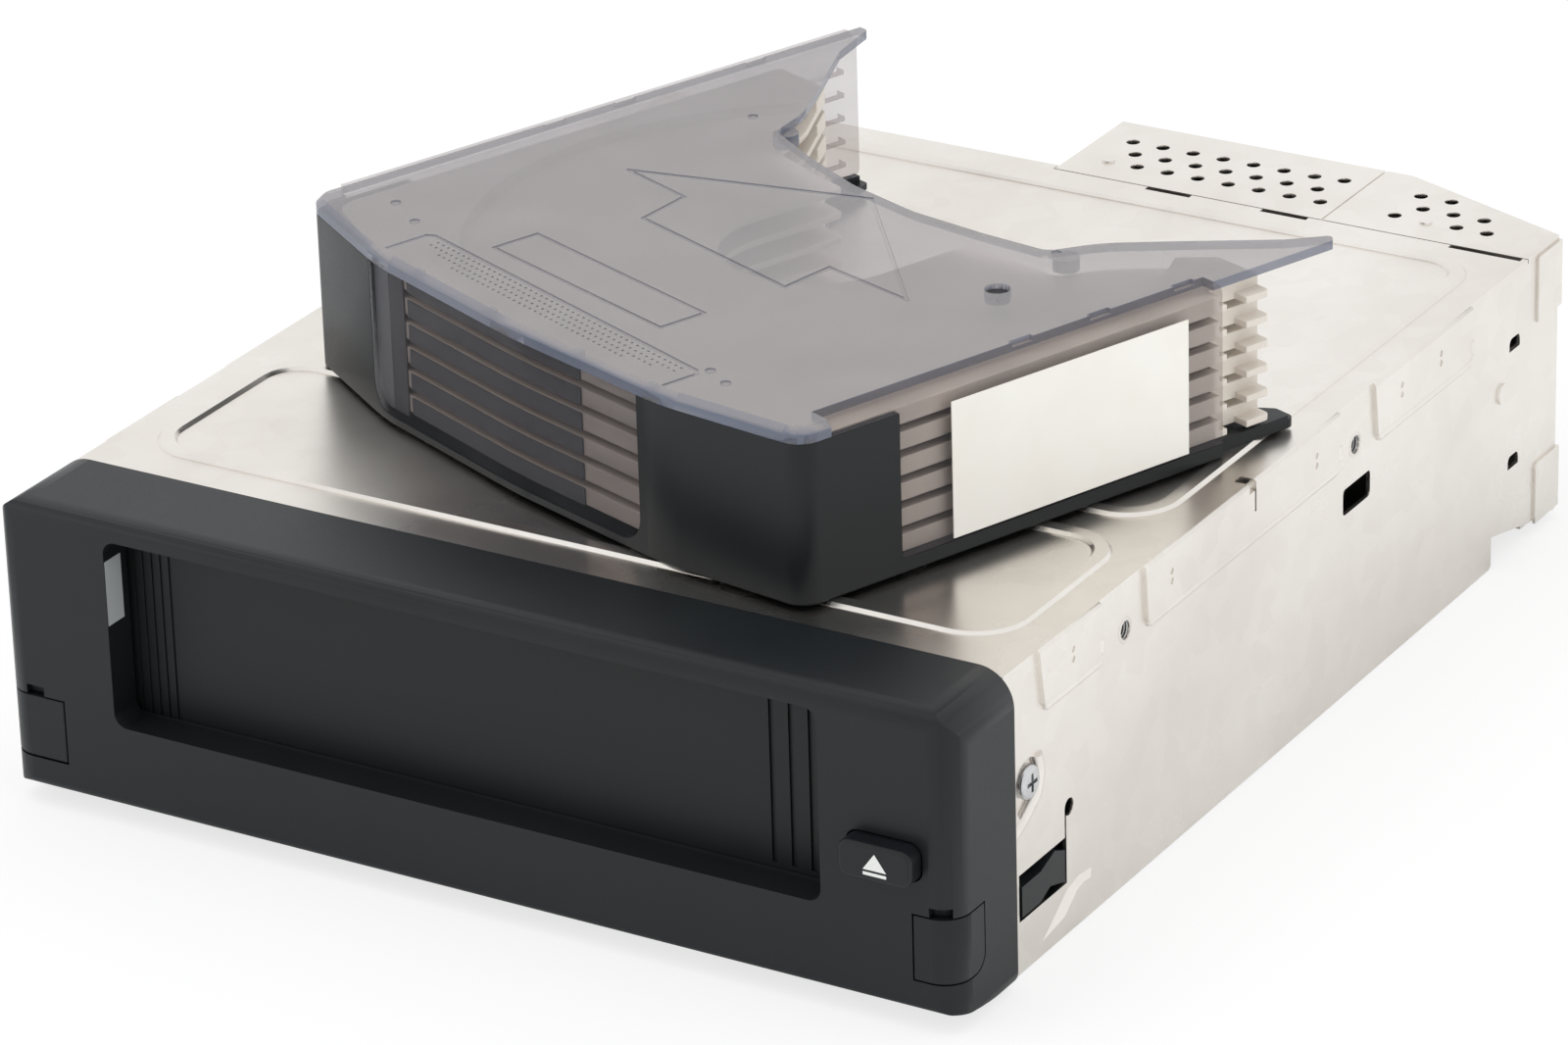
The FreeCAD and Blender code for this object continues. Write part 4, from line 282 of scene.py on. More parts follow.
@dataclass(frozen=True)
class SmokySheet(Finish):
    """Smoke-tinted clear polycarbonate: see-through face on and denser where it is grazed, with a bluer rim
    tone there as a painted reflection.
    """

    through: str
    body: float
    body_edge: float
    rim: str
    lying: bool = False
    cloud_mm: float = 16.0
    wave_mm: float = 22.0
    wave_deep_mm: float = 0.12
    duller: float = 0.05
    grazed: tuple = (0.6, 0.95)
    upright: tuple = (0.55, 0.97)
    streak: float = 0.03

    def build(self) -> Material:
        """Makes the material, whose clear share lets lamps through.

        Returns:
            The finished material.
        """
        material, tree, shader, place = self.start()
        shader.inputs["IOR"].default_value = 1.58
        cloud = add(tree, "ShaderNodeTexNoise", sized(self.cloud_mm), {"Vector": place}).outputs["Fac"]
        wave = add(tree, "ShaderNodeTexNoise", sized(self.wave_mm, 1), {"Vector": place}).outputs["Fac"]
        facing = add(tree, "ShaderNodeLayerWeight", {"Blend": 0.5}).outputs["Facing"]
        edge = add(tree, "ShaderNodeMapRange", between(0, 1, *self.grazed), {"Value": facing}).outputs[0]
        if self.lying:
            # The sheet lies flat, so every face that does not look up or down belongs to an edge or a groove;
            # these faces take the rim tone too, as painted shade.
            normal = add(tree, "ShaderNodeNewGeometry").outputs["Normal"]
            upward = add(tree, "ShaderNodeSeparateXYZ", links={0: normal}).outputs["Z"]
            flat = add(tree, "ShaderNodeMath", {"operation": "ABSOLUTE"}, {0: upward}).outputs[0]
            side = add(tree, "ShaderNodeMapRange", between(1, 0, *self.upright), {"Value": flat}).outputs[0]
            edge = add(tree, "ShaderNodeMath", {"operation": "MAXIMUM"}, {0: edge, 1: side}).outputs[0]
        low, high = self.roughness, self.roughness + self.duller
        gloss = add(tree, "ShaderNodeMapRange", between(low, high), {"Value": cloud}).outputs[0]
        # The rim tone is painted light: a painted reflection where the sheet is grazed and, on the lying lid,
        # painted shade on the walls of its edges and grooves.
        self.coat(shader, edge, self.rim, gloss, wave, self.wave_deep_mm)
        clear = add(tree, "ShaderNodeBsdfTransparent", {"Color": hex_colour(self.through)})
        dense = add(tree, "ShaderNodeMapRange", between(self.body, self.body_edge, 0, 1), {"Value": edge})
        streaks = add(tree, "ShaderNodeMapRange", between(-self.streak, self.streak), {"Value": cloud})
        cloudy = add(tree, "ShaderNodeMath", {"operation": "ADD", "use_clamp": True},
                     {0: dense.outputs[0], 1: streaks.outputs[0]})
        mix = add(tree, "ShaderNodeMixShader",
                  links={0: cloudy.outputs[0], 1: clear.outputs[0], 2: shader.outputs[0]})
        output = next(n for n in tree.nodes if n.type == "OUTPUT_MATERIAL")
        tree.links.new(mix.outputs[0], output.inputs["Surface"])
        return material


@dataclass(frozen=True)
class CoatedPaper(Finish):
    """Blank self-adhesive paper: matt cream face with faint fibres."""

    second: str
    fibre_mm: float = 0.35
    fibre_times: float = 3.0
    cloud_mm: float = 9.0
    glossier: float = 0.05
    duller: float = 0.08

    def build(self) -> Material:
        """Makes the material.

        Returns:
            The finished material.
        """
        material, tree, shader, place = self.start()
        laid = add(tree, "ShaderNodeMapping", {"Scale": (1 / self.fibre_times, 1, 1)},
                   {"Vector": place}).outputs[0]
        fibres = add(tree, "ShaderNodeTexNoise", sized(self.fibre_mm, 3), {"Vector": laid}).outputs["Fac"]
        cloud = add(tree, "ShaderNodeTexNoise", sized(self.cloud_mm), {"Vector": place}).outputs["Fac"]
        tone = add(tree, "ShaderNodeMapRange", between(0, 1), {"Value": cloud}).outputs[0]
        low, high = self.roughness - self.glossier, self.roughness + self.duller
        gloss = add(tree, "ShaderNodeMapRange", between(low, high), {"Value": fibres}).outputs[0]
        self.coat(shader, tone, self.second, gloss, fibres)
        return material


@dataclass(frozen=True)
class CircuitBoard(Finish):
    """Glass-epoxy board under solder resist: deep green with paler copper lines beneath and a soft gloss."""

    track: str = "#2f7d4f"
    track_mm: float = 2.2
    cloud_mm: float = 8.0
    duller: float = 0.12

    def build(self) -> Material:
        """Makes the material.

        Returns:
            The finished material.
        """
        material, tree, shader, place = self.start()
        bricks = add(tree, "ShaderNodeTexBrick",
                     {"Scale": per_metre(self.track_mm * 4), "Mortar Size": 0.06, "Mortar Smooth": 0.1,
                      "Color1": (0, 0, 0, 1), "Color2": (0.25, 0.25, 0.25, 1), "Mortar": (1, 1, 1, 1)},
                     {"Vector": place})
        lit = add(tree, "ShaderNodeSeparateColor", links={"Color": bricks.outputs["Color"]}).outputs[0]
        cloud = add(tree, "ShaderNodeTexNoise", sized(self.cloud_mm), {"Vector": place}).outputs["Fac"]
        low, high = self.roughness, self.roughness + self.duller
        gloss = add(tree, "ShaderNodeMapRange", between(low, high), {"Value": cloud}).outputs[0]
        self.coat(shader, lit, self.track, gloss, lit, 0.03, 0.4)
        return material


@dataclass(frozen=True)
class PadPrint(Finish):
    """Pad-printed ink: an opaque, slightly uneven matt film."""

    worn: str
    speckle_mm: float = 0.3

    def build(self) -> Material:
        """Makes the material.

        Returns:
            The finished material.
        """
        material, tree, shader, place = self.start()
        speckle = add(tree, "ShaderNodeTexNoise", sized(self.speckle_mm), {"Vector": place}).outputs["Fac"]
        thin = add(tree, "ShaderNodeMapRange", between(0, 0.25, 0.55, 0.75), {"Value": speckle}).outputs[0]
        self.coat(shader, thin, self.worn)
        return material


class Look(Enum):
    """The finishes that the pieces choose from."""

    # Spark-eroded black ABS: a satin charcoal that lifts to blue-grey where it turns to the light.
    BLACK_ABS = MouldedPlastic("moulded_abs_black", "#14171a", 0.38, "#181b1d", 0.5, 0.012, 0.04, sheen=0.28)
    # Ribbed door slats in the same ABS, a little rougher and darker.
    DOOR_ABS = MouldedPlastic("moulded_abs_door", "#131517", 0.46, "#17191a", 0.5, 0.012, 0.04, sheen=0.3)
    # Light grey moulding with a plain skin.
    GREY_PAD = MouldedPlastic("moulded_abs_light_grey", "#b4b8ba", 0.5, "#c0c3c4", 0.6, 0.02, drift=0.06)
    # Acetal: waxy and slightly shiny, in black and in its natural white.
    BLACK_POM = MouldedPlastic("moulded_acetal_black", "#1d1d1f", 0.36, "#232325", 0.8, 0.01, ior=1.48)
    WHITE_POM = MouldedPlastic("moulded_acetal_natural", "#e4e0d4", 0.36, "#ece8dd", 0.8, 0.01, ior=1.48)
    # Polystyrene trays: smooth cream with a soft gloss.
    CREAM_PS = MouldedPlastic("moulded_polystyrene_cream", "#d9d0c4", 0.38, "#e2dacf", 0.7, 0.01, ior=1.59)
    # Dark grey for painted shade: strips in the trays' fronts and a sheet behind the front window, where only
    # shade shows.
    PAINTED_SHADE_GREY = MouldedPlastic("painted_shade_grey_polystyrene", "#63666b", 0.45, "#6c6f73", 0.7, 0.01, ior=1.59)
    # Epoxy bodies of the chips: matt and near black.
    CHIP = MouldedPlastic("moulded_epoxy_black", "#232425", 0.55, "#2c2d2e", 0.3, 0.02, drift=0.06)
    # Galvanised sheet: pale and bright with a warm cast and long soft reflections.
    ZINC = SheetSteel("galvanised_sheet_steel", "#f0ece7", 0.27, "#e0dbd4")
    # Plated screws, rods and leads: bright and cool. Motor cans are warmer and a little duller.
    BRIGHT = TurnedMetal("zinc_plated_steel", "#d2d3d4", 0.24, "#bfc0c2")
    MOTOR = TurnedMetal("nickel_plated_can", "#c2c1bd", 0.28, "#b0afab", 0.4)
    # Drawn wire and turned brass, both with fine lines.
    SPRING = TurnedMetal("drawn_spring_wire", "#b8b8b8", 0.25, "#a2a2a3")
    BRASS = TurnedMetal("machined_brass", "#d4b160", 0.25, "#c09a4c")
    # Smoke-grey polycarbonate: the lid is a little milky, the windows are clearer.
    # The last colour of each sheet is its rim tone, a painted reflection where grazed; on the lid it is also
    # painted shade in the grooves.
    SMOKY_LID = SmokySheet("smoky_polycarbonate_lid", "#aeabab", 0.12, "#f1eff0", 0.42, 0.7, "#717889", True)
    SMOKY_WINDOW = SmokySheet("smoky_polycarbonate_window", "#5d6065", 0.1, "#e6e4e5", 0.1, 0.5, "#767d8c")
    SMOKY_SIDE = SmokySheet("smoky_polycarbonate_side", "#8a878a", 0.1, "#f2f0f0", 0.1, 0.5, "#767d8c")
    # Clear clip ribs that catch the light inside the skirt.
    MILKY = SmokySheet("clear_polycarbonate_ribs", "#b4b7bf", 0.25, "#f0f0f2", 0.25, 0.5, "#a9b0bc")
    # The same tint in small raised dots, darkened as painted shade.
    SMOKY_DARK = SmokySheet("smoky_polycarbonate_painted_shade", "#26282d", 0.2, "#6f7077", 0.88, 0.95, "#343843")
    # Cream label stock: matt and slightly warm.
    PAPER = CoatedPaper("cream_label_paper", "#f8f5ee", 0.6, "#f5f1e8")
    # Solder resist over copper lines: green on the main board, near black on the switch's.
    BOARD = CircuitBoard("solder_resist_green", "#0f4a2c", 0.35)
    SWITCH_BOARD = CircuitBoard("solder_resist_dark", "#17301f", 0.4)
    # A coated lens mirrors violet like a polished metal, so it is made as one.
    LENS = TurnedMetal("coated_lens_glass", "#5b6f9a", 0.05, "#6a5d92")
    # White pad-printing ink: flat, with a faint grey where it is thin.
    WHITE_INK = PadPrint("pad_print_white", "#e9e9e6", 0.5, "#a8a8a6")

    def material(self) -> Material:
        """The built material, made on first use."""
        found = bpy.data.materials.get(self.value.name)
        return found or self.value.build()


# ---------------------------------------------------------------- shared making
def dress(node: str, look: Look) -> Object:
    """Gives a carried-over solid its finish.

    Args:
        node: Name of the solid.
        look: Finish for all of it.

    Returns:
        The solid's object.
    """
    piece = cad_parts[node]
    piece.data.materials.clear()
    piece.data.materials.append(look.material())
    LOG.info("dressed %s in %s", node, look.value.name)
    return piece


def soften(node: str, width_mm: float) -> None:
    """Rounds the sharp edges of a carried-over solid.

    Args:
        node: Name of the solid.
        width_mm: Width of the rounding.
    """
    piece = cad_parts[node]
    weld = piece.modifiers.new("weld", "WELD")
    weld.merge_threshold = WELD_MM * MM
    flat = piece.modifiers.new("flat", "DECIMATE")
    flat.decimate_type = "DISSOLVE"
    flat.angle_limit = math.radians(FLAT_TURN)
    edge = piece.modifiers.new("round", "BEVEL")
    edge.width = width_mm * MM
    edge.segments = ROUNDED_FACETS
    edge.limit_method = "ANGLE"
    edge.angle_limit = math.radians(ROUNDED_TURN)
    edge.use_clamp_overlap = True
    edge.harden_normals = True


def plain_mesh(name: str, points: list, faces: list, look: Look) -> Object:
    """Makes a mesh object whose place is in its mesh.

    Args:
        name: Piece name.
        points: Corners in the row frame.
        faces: Corner numbers of each face.
        look: Finish.

    Returns:
        The new object, linked to the scene.
    """
    mesh = bpy.data.meshes.new(name)
    mesh.from_pydata([tuple(p) for p in points], [], faces)
    mesh.materials.append(look.material())
    piece = bpy.data.objects.new(name, mesh)
    bpy.context.scene.collection.objects.link(piece)
    return piece


def prisms(name: str, rings: list[tuple[list, list]], look: Look) -> Object:
    """Makes one mesh of closed prisms, each between two rings of points.

    Args:
        name: Piece name.
        rings: Near and far ring of each prism, counter-clockwise as the near end is seen from outside.
        look: Finish.

    Returns:
        The new object.
    """
    points, faces = [], []
    for near, far in rings:
        first, count = len(points), len(near)
        points += near + far
        faces += [[first + i for i in range(count)], [first + 2 * count - 1 - i for i in range(count)]]
        for i in range(count):
            j = (i + 1) % count
            faces.append([first + i, first + i + count, first + j + count, first + j])
    return plain_mesh(name, points, faces, look)


def realise(piece: Object) -> Object:
    """Turns the evaluated result of a piece's modifiers into its plain mesh.

    Args:
        piece: Object with modifiers.

    Returns:
        The same object with a plain mesh and no modifiers.
    """
    graph = bpy.context.evaluated_depsgraph_get()
    mesh = bpy.data.meshes.new_from_object(piece.evaluated_get(graph))
    piece.modifiers.clear()
    piece.data = mesh
    mesh.name = piece.name
    return piece


def settle(piece: Object, body: str) -> Object:
    """Puts a finished piece on its body and reports it.

    Args:
        piece: The piece.
        body: Body that it moves with.

    Returns:
        The piece.
    """
    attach(piece, body)
    LOG.info("made %s on %s, %d faces", piece.name, body, len(piece.data.polygons))
    return piece


def tree_with(name: str, inputs: dict[str, float]) -> tuple[NodeTree, Node]:
    """Starts a geometry tree with named number inputs.

    Args:
        name: Tree name.
        inputs: Default of each input by name.

    Returns:
        The tree and its group input node.
    """
    tree = bpy.data.node_groups.new(name, "GeometryNodeTree")
    tree.interface.new_socket("Geometry", in_out="INPUT", socket_type="NodeSocketGeometry")
    for label, value in inputs.items():
        socket = tree.interface.new_socket(label, in_out="INPUT", socket_type="NodeSocketFloat")
        socket.default_value = value
    tree.interface.new_socket("Geometry", in_out="OUTPUT", socket_type="NodeSocketGeometry")
    return tree, add(tree, "NodeGroupInput")


def end_tree(tree: NodeTree, shape: NodeSocket, look: Look) -> None:
    """Ends a geometry tree in real geometry with its finish.

    Args:
        tree: The tree.
        shape: Geometry that it has made.
        look: Finish.
    """
    real = add(tree, "GeometryNodeRealizeInstances", links={0: shape})
    done = add(tree, "GeometryNodeSetMaterial", {"Material": look.material()}, {"Geometry": real.outputs[0]})
    add(tree, "NodeGroupOutput", links={0: done.outputs[0]})


def grown(name: str, tree: NodeTree, values: dict[str, float], points: Iterable = (),
          edges: Iterable = ()) -> Object:
    """Runs a geometry tree on a set of points or lines and keeps the plain mesh.

    Args:
        name: Piece name.
        tree: Geometry tree.
        values: Input values by name.
        points: Points that the tree works on.
        edges: Pairs of point numbers that are joined by a line.

    Returns:
        The new object with its realised mesh.
    """
    mesh = bpy.data.meshes.new(name)
    mesh.from_pydata([tuple(p) for p in points], list(edges), [])
    piece = bpy.data.objects.new(name, mesh)
    bpy.context.scene.collection.objects.link(piece)
    modifier = piece.modifiers.new("grow", "NODES")
    modifier.node_group = tree
    for item in tree.interface.items_tree:
        if item.item_type == "SOCKET" and item.in_out == "INPUT" and item.name in values:
            modifier[item.identifier] = float(values[item.name])
    return realise(piece)


def at_depth(x_mm: float, depth_mm: float, z_mm: float) -> Vector:
    """Row frame point from x, depth behind the fascia's face and height, in millimetres."""
    return Vector((x_mm, depth_mm - ORIGIN_DEPTH_MM, z_mm)) * MM


def bead(name: str, lines: list, radius_mm: float, look: Look, turn_mm: float = 0.0) -> Object:
    """Sweeps a round bead along one or more lines of points.

    Args:
        name: Piece name.
        lines: Rows of points in the row frame.
        radius_mm: Radius of the bead.
        look: Finish.
        turn_mm: Radius on which the line turns its corners.

    Returns:
        The new object.
    """
    sizes = {"Radius": radius_mm * MM, "Turn": turn_mm * MM}
    tree, given = tree_with(name + "_sweep", sizes)
    line = add(tree, "GeometryNodeMeshToCurve", links={0: given.outputs["Geometry"]})
    soft = add(tree, "GeometryNodeFilletCurve", {"mode": "POLY", "Count": 6},
               {"Curve": line.outputs[0], "Radius": given.outputs["Turn"]})
    section = add(tree, "GeometryNodeCurvePrimitiveCircle", {"Resolution": 12},
                  {"Radius": given.outputs["Radius"]})
    swept = add(tree, "GeometryNodeCurveToMesh", {"Fill Caps": True},
                {"Curve": soft.outputs[0], "Profile Curve": section.outputs[0]})
    smooth = add(tree, "GeometryNodeSetShadeSmooth", links={0: swept.outputs[0]})
    end_tree(tree, smooth.outputs[0], look)
    points, edges = [], []
    for row in lines:
        edges += [(len(points) + i, len(points) + i + 1) for i in range(len(row) - 1)]
        points += list(row)
    return grown(name, tree, sizes, points, edges)


def boxes(name: str, points: list, size_mm: tuple[float, float, float], look: Look,
          turn_seed: Optional[int] = None) -> Object:
    """Sets one equal box on every point.

    Args:
        name: Piece name.
        points: Middles of the boxes in the row frame.
        size_mm: Length, width and height of a box.
        look: Finish.
        turn_seed: Seed by which some boxes turn by a quarter, or None to leave all straight.

    Returns:
        The new object.
    """
    sizes = {label: size * MM for label, size in zip(("Length", "Width", "Height"), size_mm)}
    tree, given = tree_with(name, sizes)
    measure = add(tree, "ShaderNodeCombineXYZ", links={i: given.outputs[s] for i, s in enumerate(sizes)})
    box = add(tree, "GeometryNodeMeshCube", links={"Size": measure.outputs[0]})
    links = {"Points": given.outputs["Geometry"], "Instance": box.outputs[0]}
    if turn_seed is not None:
        turn = add(tree, "FunctionNodeRandomValue", {"data_type": "INT", "Seed": turn_seed})
        limits = [i for i in turn.inputs if i.type == "INT" and i.name in ("Min", "Max")]
        for socket, value in zip(limits, (0, 1)):
            socket.default_value = value
        quarters = next(o for o in turn.outputs if o.type == "INT")
        angle = add(tree, "ShaderNodeMath", {"operation": "MULTIPLY", 1: math.pi / 2}, {0: quarters})
        links["Rotation"] = add(tree, "ShaderNodeCombineXYZ", links={2: angle.outputs[0]}).outputs[0]
    laid = add(tree, "GeometryNodeInstanceOnPoints", links=links)
    end_tree(tree, laid.outputs[0], look)
    return grown(name, tree, sizes, points)


# ---------------------------------------------------------------- sub-assemblies
@dataclass
class FrontPanel:
    """Black fascia with its pad, screw covers and sprung eject button."""

    mark_x_mm: float = 78.7
    mark_low_mm: float = 27.5
    mark_half_mm: float = 2.1
    triangle_high_mm: float = 2.9
    bar_high_mm: float = 0.55
    bar_gap_mm: float = 0.4
    print_mm: float = 0.03
    face_depth_mm: float = -3.4

    def build(self) -> None:
        """Dresses the mouldings and prints the eject mark."""
        dress("fascia", Look.BLACK_ABS)
        dress("recess_pad", Look.GREY_PAD)
        dress("eject_switch", Look.SWITCH_BOARD)
        for node in ("screw_cover_left", "screw_cover_right", "eject_button"):
            dress(node, Look.BLACK_ABS)
            soften(node, 0.25)
        soften("fascia", 0.2)
        self.print_mark()

    def print_mark(self) -> None:
        """Prints the triangle and bar of the eject sign on the button."""
        x, low, half = self.mark_x_mm, self.mark_low_mm, self.mark_half_mm
        foot = low + self.bar_high_mm + self.bar_gap_mm
        shapes = [[(x - half, low), (x + half, low), (x + half, low + self.bar_high_mm),
                   (x - half, low + self.bar_high_mm)],
                  [(x - half, foot), (x + half, foot), (x, foot + self.triangle_high_mm)]]
        depths = (self.face_depth_mm - self.print_mm / 2, self.face_depth_mm + self.print_mm / 2)
        rings = [tuple([at_depth(px, depth, pz) for px, pz in outline] for depth in depths)
                 for outline in shapes]
        settle(prisms("eject_mark", rings, Look.WHITE_INK), "button")


@dataclass
class SlidingDoor:
    """Flexible ribbed door: its leading edge and its sheet, which rides on the door body."""

    joint: str = "door_slide"
    kept_share: float = 0.01

    def build(self) -> None:
        """Dresses the leading edge and makes the sheet from a welded copy of the imported one."""
        dress("door_leading_edge", Look.DOOR_ABS)
        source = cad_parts["door_sheet"]
        mesh = source.data.copy()
        form = bmesh.new()
        form.from_mesh(mesh)
        bmesh.ops.remove_doubles(form, verts=form.verts, dist=WELD_MM * MM)
        form.to_mesh(mesh)
        form.free()
        mesh.materials.clear()
        mesh.materials.append(Look.DOOR_ABS.material())
        sheet = bpy.data.objects.new("door_curtain", mesh)
        bpy.context.scene.collection.objects.link(sheet)
        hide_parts("door_sheet")
        settle(sheet, "door")
        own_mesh(sheet)


@dataclass
class SteelCase:
    """Folded and pressed galvanised sheets with their screws."""

    sheets: tuple = ("top_cover", "rear_cover", "base_plate", "side_plate_right", "side_plate_left",
                     "rear_plate", "bay_floor", "cam_plate_right", "cam_plate_left", "deck_frame", "clamp_arm")
    side_mm: float = 89.0
    lip_mm: tuple = ((20.5, 24.0), (26.0, 26.6), (30.4, 29.4), (31.6, 33.0), (30.6, 36.2))
    lip_radius_mm: float = 1.15
    lip_turn_mm: float = 3.0
    lip_sunk_mm: float = 0.45
    hole_depths_mm: tuple = (60.0, 142.0)
    hole_high_mm: float = 45.4
    circle_steps: int = 20
    collar_mm: float = 2.1
    collar_wire_mm: float = 0.22
    collar_sunk_mm: float = 0.05
    thread_mm: float = 1.62
    thread_wire_mm: float = 0.12
    thread_sunk_mm: float = 0.15
    thread_turns: int = 3
    thread_pitch_mm: float = 0.525

    def build(self) -> None:
        """Dresses the sheets and screws and presses the small forms of the side plates."""
        for node in self.sheets:
            dress(node, Look.ZINC)
        dress("chassis_screws", Look.BRIGHT)
        for node, width in (("top_cover", 0.3), ("rear_cover", 0.25), ("side_plate_right", 0.2),
                            ("side_plate_left", 0.2), ("base_plate", 0.2), ("rear_plate", 0.2)):
            soften(node, width)
        for side, word in ((1, "right"), (-1, "left")):
            self.press_screw_lip(side, word)
            self.cut_threads(side, word)

    def press_screw_lip(self, side: int, word: str) -> None:
        """Presses the lip that sweeps round the front screw.

        Args:
            side: 1 for the right side plate, -1 for the left.
            word: The side in words.
        """
        x = side * (self.side_mm - self.lip_sunk_mm)
        row = [at_depth(x, depth, high) for depth, high in self.lip_mm]
        settle(bead(f"screw_lip_{word}", [row], self.lip_radius_mm, Look.ZINC, self.lip_turn_mm),
               "chassis")

    def round_hole(self, side: int, depth: float, radius: float, sunk: float, turns: int = 1,
                   pitch: float = 0.0) -> list[Vector]:
        """Works out points that circle a mounting hole.

        Args:
            side: 1 for the right side plate, -1 for the left.
            depth: Depth of the hole behind the fascia's face.
            radius: Radius of the circle.
            sunk: How far inside the plate's face it starts.
            turns: Times that it goes round.
            pitch: How much further in each turn ends.

        Returns:
            The points in the row frame.
        """
        steps = self.circle_steps
        return [at_depth(side * (self.side_mm - sunk - pitch * i / steps),
                         depth + radius * math.cos(math.tau * i / steps),
                         self.hole_high_mm + radius * math.sin(math.tau * i / steps))
                for i in range(turns * steps + 1)]

    def cut_threads(self, side: int, word: str) -> None:
        """Runs a fine thread into each of the side mounting holes and a drawn collar round it.

        Args:
            side: 1 for the right side plate, -1 for the left.
            word: The side in words.
        """
        threads = [self.round_hole(side, depth, self.thread_mm, self.thread_sunk_mm, self.thread_turns,
                                   self.thread_pitch_mm) for depth in self.hole_depths_mm]
        collars = [self.round_hole(side, depth, self.collar_mm, self.collar_sunk_mm)
                   for depth in self.hole_depths_mm]
        for name, rows, wire_mm, look in (("threads", threads, self.thread_wire_mm, Look.BRIGHT),
                                          ("collars", collars, self.collar_wire_mm, Look.ZINC)):
            settle(bead(f"hole_{name}_{word}", rows, wire_mm, look), "chassis")


@dataclass
class Works:
    """Bay, circuit board, lift drive, player deck and puller inside the case."""

    coil_turns: float = 7.0
    wire_mm: float = 0.35
    squashed_share: float = 0.23
    seed: int = 7
    resistors: int = 90
    resistor_mm: tuple = (2.0, 1.25, 0.5)
    resistor_gap_mm: float = 3.2
    chip_gap_mm: float = 2.5
    board_rim_mm: float = 5.0
    board_right_rim_mm: float = 12.0
    lead_mm: tuple = (1.1, 0.4, 0.6)
    lead_pitch_mm: float = 1.0
    lead_out_mm: float = 0.55
    leaded_chips: int = 4
    pin_mm: tuple = (0.8, 7.0, 0.8)
    pin_first_mm: float = 12.2
    pin_pitch_mm: float = 2.8
    pin_depth_mm: float = 227.2
    pin_rows_mm: tuple = (25.0, 31.0)
    pin_columns: int = 8
    screw_pitch_mm: float = 1.5
    screw_wire_mm: float = 0.16
    screw_sunk_mm: float = 0.05
    screw_end_mm: float = 3.6
    screw_steps: int = 16
    # Left edge, depth, width and reach of each chip; the first ones have leads.
    chips_mm: tuple = ((-40, 50, 14, 14), (-14, 48, 12, 18), (8, 56, 10, 10), (-34, 82, 7, 10),
                       (-58, 60, 8, 5), (-8, 84, 9, 6), (14, 84, 6, 4), (-30, 102, 24, 6), (2, 102, 16, 6),
                       (-58, 40, 8, 8), (-57.2, 76.8, 6.4, 6.4), (24.8, 44.8, 6.4, 6.4), (25, 66, 8, 8),
                       (23.5, 93.5, 5, 5))

    def build(self) -> None:
        """Dresses the inner pieces and winds the spring."""
        looks = {
            Look.BLACK_POM: ("door_tracks", "rear_connector", "bay_rail_right", "bay_rail_left", "cam_rails",
                             "shaft_bearings", "turntable", "pickup_sled", "disc_clamp"),
            Look.WHITE_POM: ("eject_slider", "sync_pinions", "shaft_gear", "puller_bar", "puller_pinion"),
            Look.BRIGHT: ("sync_shaft", "guide_rods", "lead_screw", "clamp_hinge_pin"),
            Look.MOTOR: ("elevator_motor", "spindle_motor", "sled_motor", "puller_motor"),
            Look.BRASS: ("elevator_pinion",),
            Look.BOARD: ("main_board",),
            Look.CHIP: ("board_components",),
            Look.LENS: ("pickup_lens",),
        }
        for look, nodes in looks.items():
            for node in nodes:
                dress(node, look)
        self.wind_spring()
        self.solder_board()
        self.wind_screw()
        self.sleeve_pins()

    def solder_board(self) -> None:
        """Solders small resistors and chip leads onto the board in fixed random order."""
        low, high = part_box("main_board")
        blocked = [(at_depth(x, y, 0), at_depth(x + wide, y + deep, 0)) for x, y, wide, deep in self.chips_mm]
        rim, right_rim = self.board_rim_mm * MM, self.board_right_rim_mm * MM
        margin, gap = self.chip_gap_mm * MM, self.resistor_gap_mm * MM
        order = random.Random(self.seed)
        spots = []
        while len(spots) < self.resistors:
            spot = Vector((order.uniform(low.x + rim, high.x - right_rim),
                           order.uniform(low.y + rim, high.y - rim), high.z))
            clear = all(not (a.x - margin < spot.x < b.x + margin and a.y - margin < spot.y < b.y + margin)
                        for a, b in blocked)
            if clear and all((spot - other).length > gap for other in spots):
                spots.append(spot)
        settle(boxes("chip_resistors", spots, self.resistor_mm, Look.CHIP, self.seed), "chassis")
        self.lead_chips(high.z)

    def lead_chips(self, board_top: float) -> None:
        """Stands the tinned leads along both sides of the flat chips.

        Args:
            board_top: Height of the board's face.
        """
        places = []
        for x, y, wide, deep in self.chips_mm[:self.leaded_chips]:
            count = int(deep / self.lead_pitch_mm) - 1
            for i in range(count):
                across = y + (deep - (count - 1) * self.lead_pitch_mm) / 2 + i * self.lead_pitch_mm
                for edge in (x - self.lead_out_mm, x + wide + self.lead_out_mm):
                    spot = at_depth(edge, across, 0)
                    places.append(Vector((spot.x, spot.y, board_top + self.lead_mm[2] / 2 * MM)))
        settle(boxes("chip_leads", places, self.lead_mm, Look.BRIGHT), "chassis")

    def wind_screw(self) -> None:
        """Winds a raised thread onto the lead screw."""
        low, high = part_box("lead_screw")
        middle = (low + high) / 2
        radius = (high.z - low.z) / 2 - self.screw_sunk_mm * MM
        start, end = low.y + self.screw_end_mm * MM, high.y - self.screw_end_mm * MM
        pitch, steps = self.screw_pitch_mm * MM, self.screw_steps
        row = []
        for i in range(int((end - start) / pitch) * steps + 1):
            angle = math.tau * i / steps
            row.append(Vector((middle.x + radius * math.cos(angle), start + pitch * i / steps,
                               middle.z + radius * math.sin(angle))))
        settle(bead("lead_screw_thread", [row], self.screw_wire_mm, Look.BRIGHT), "sled_screw")

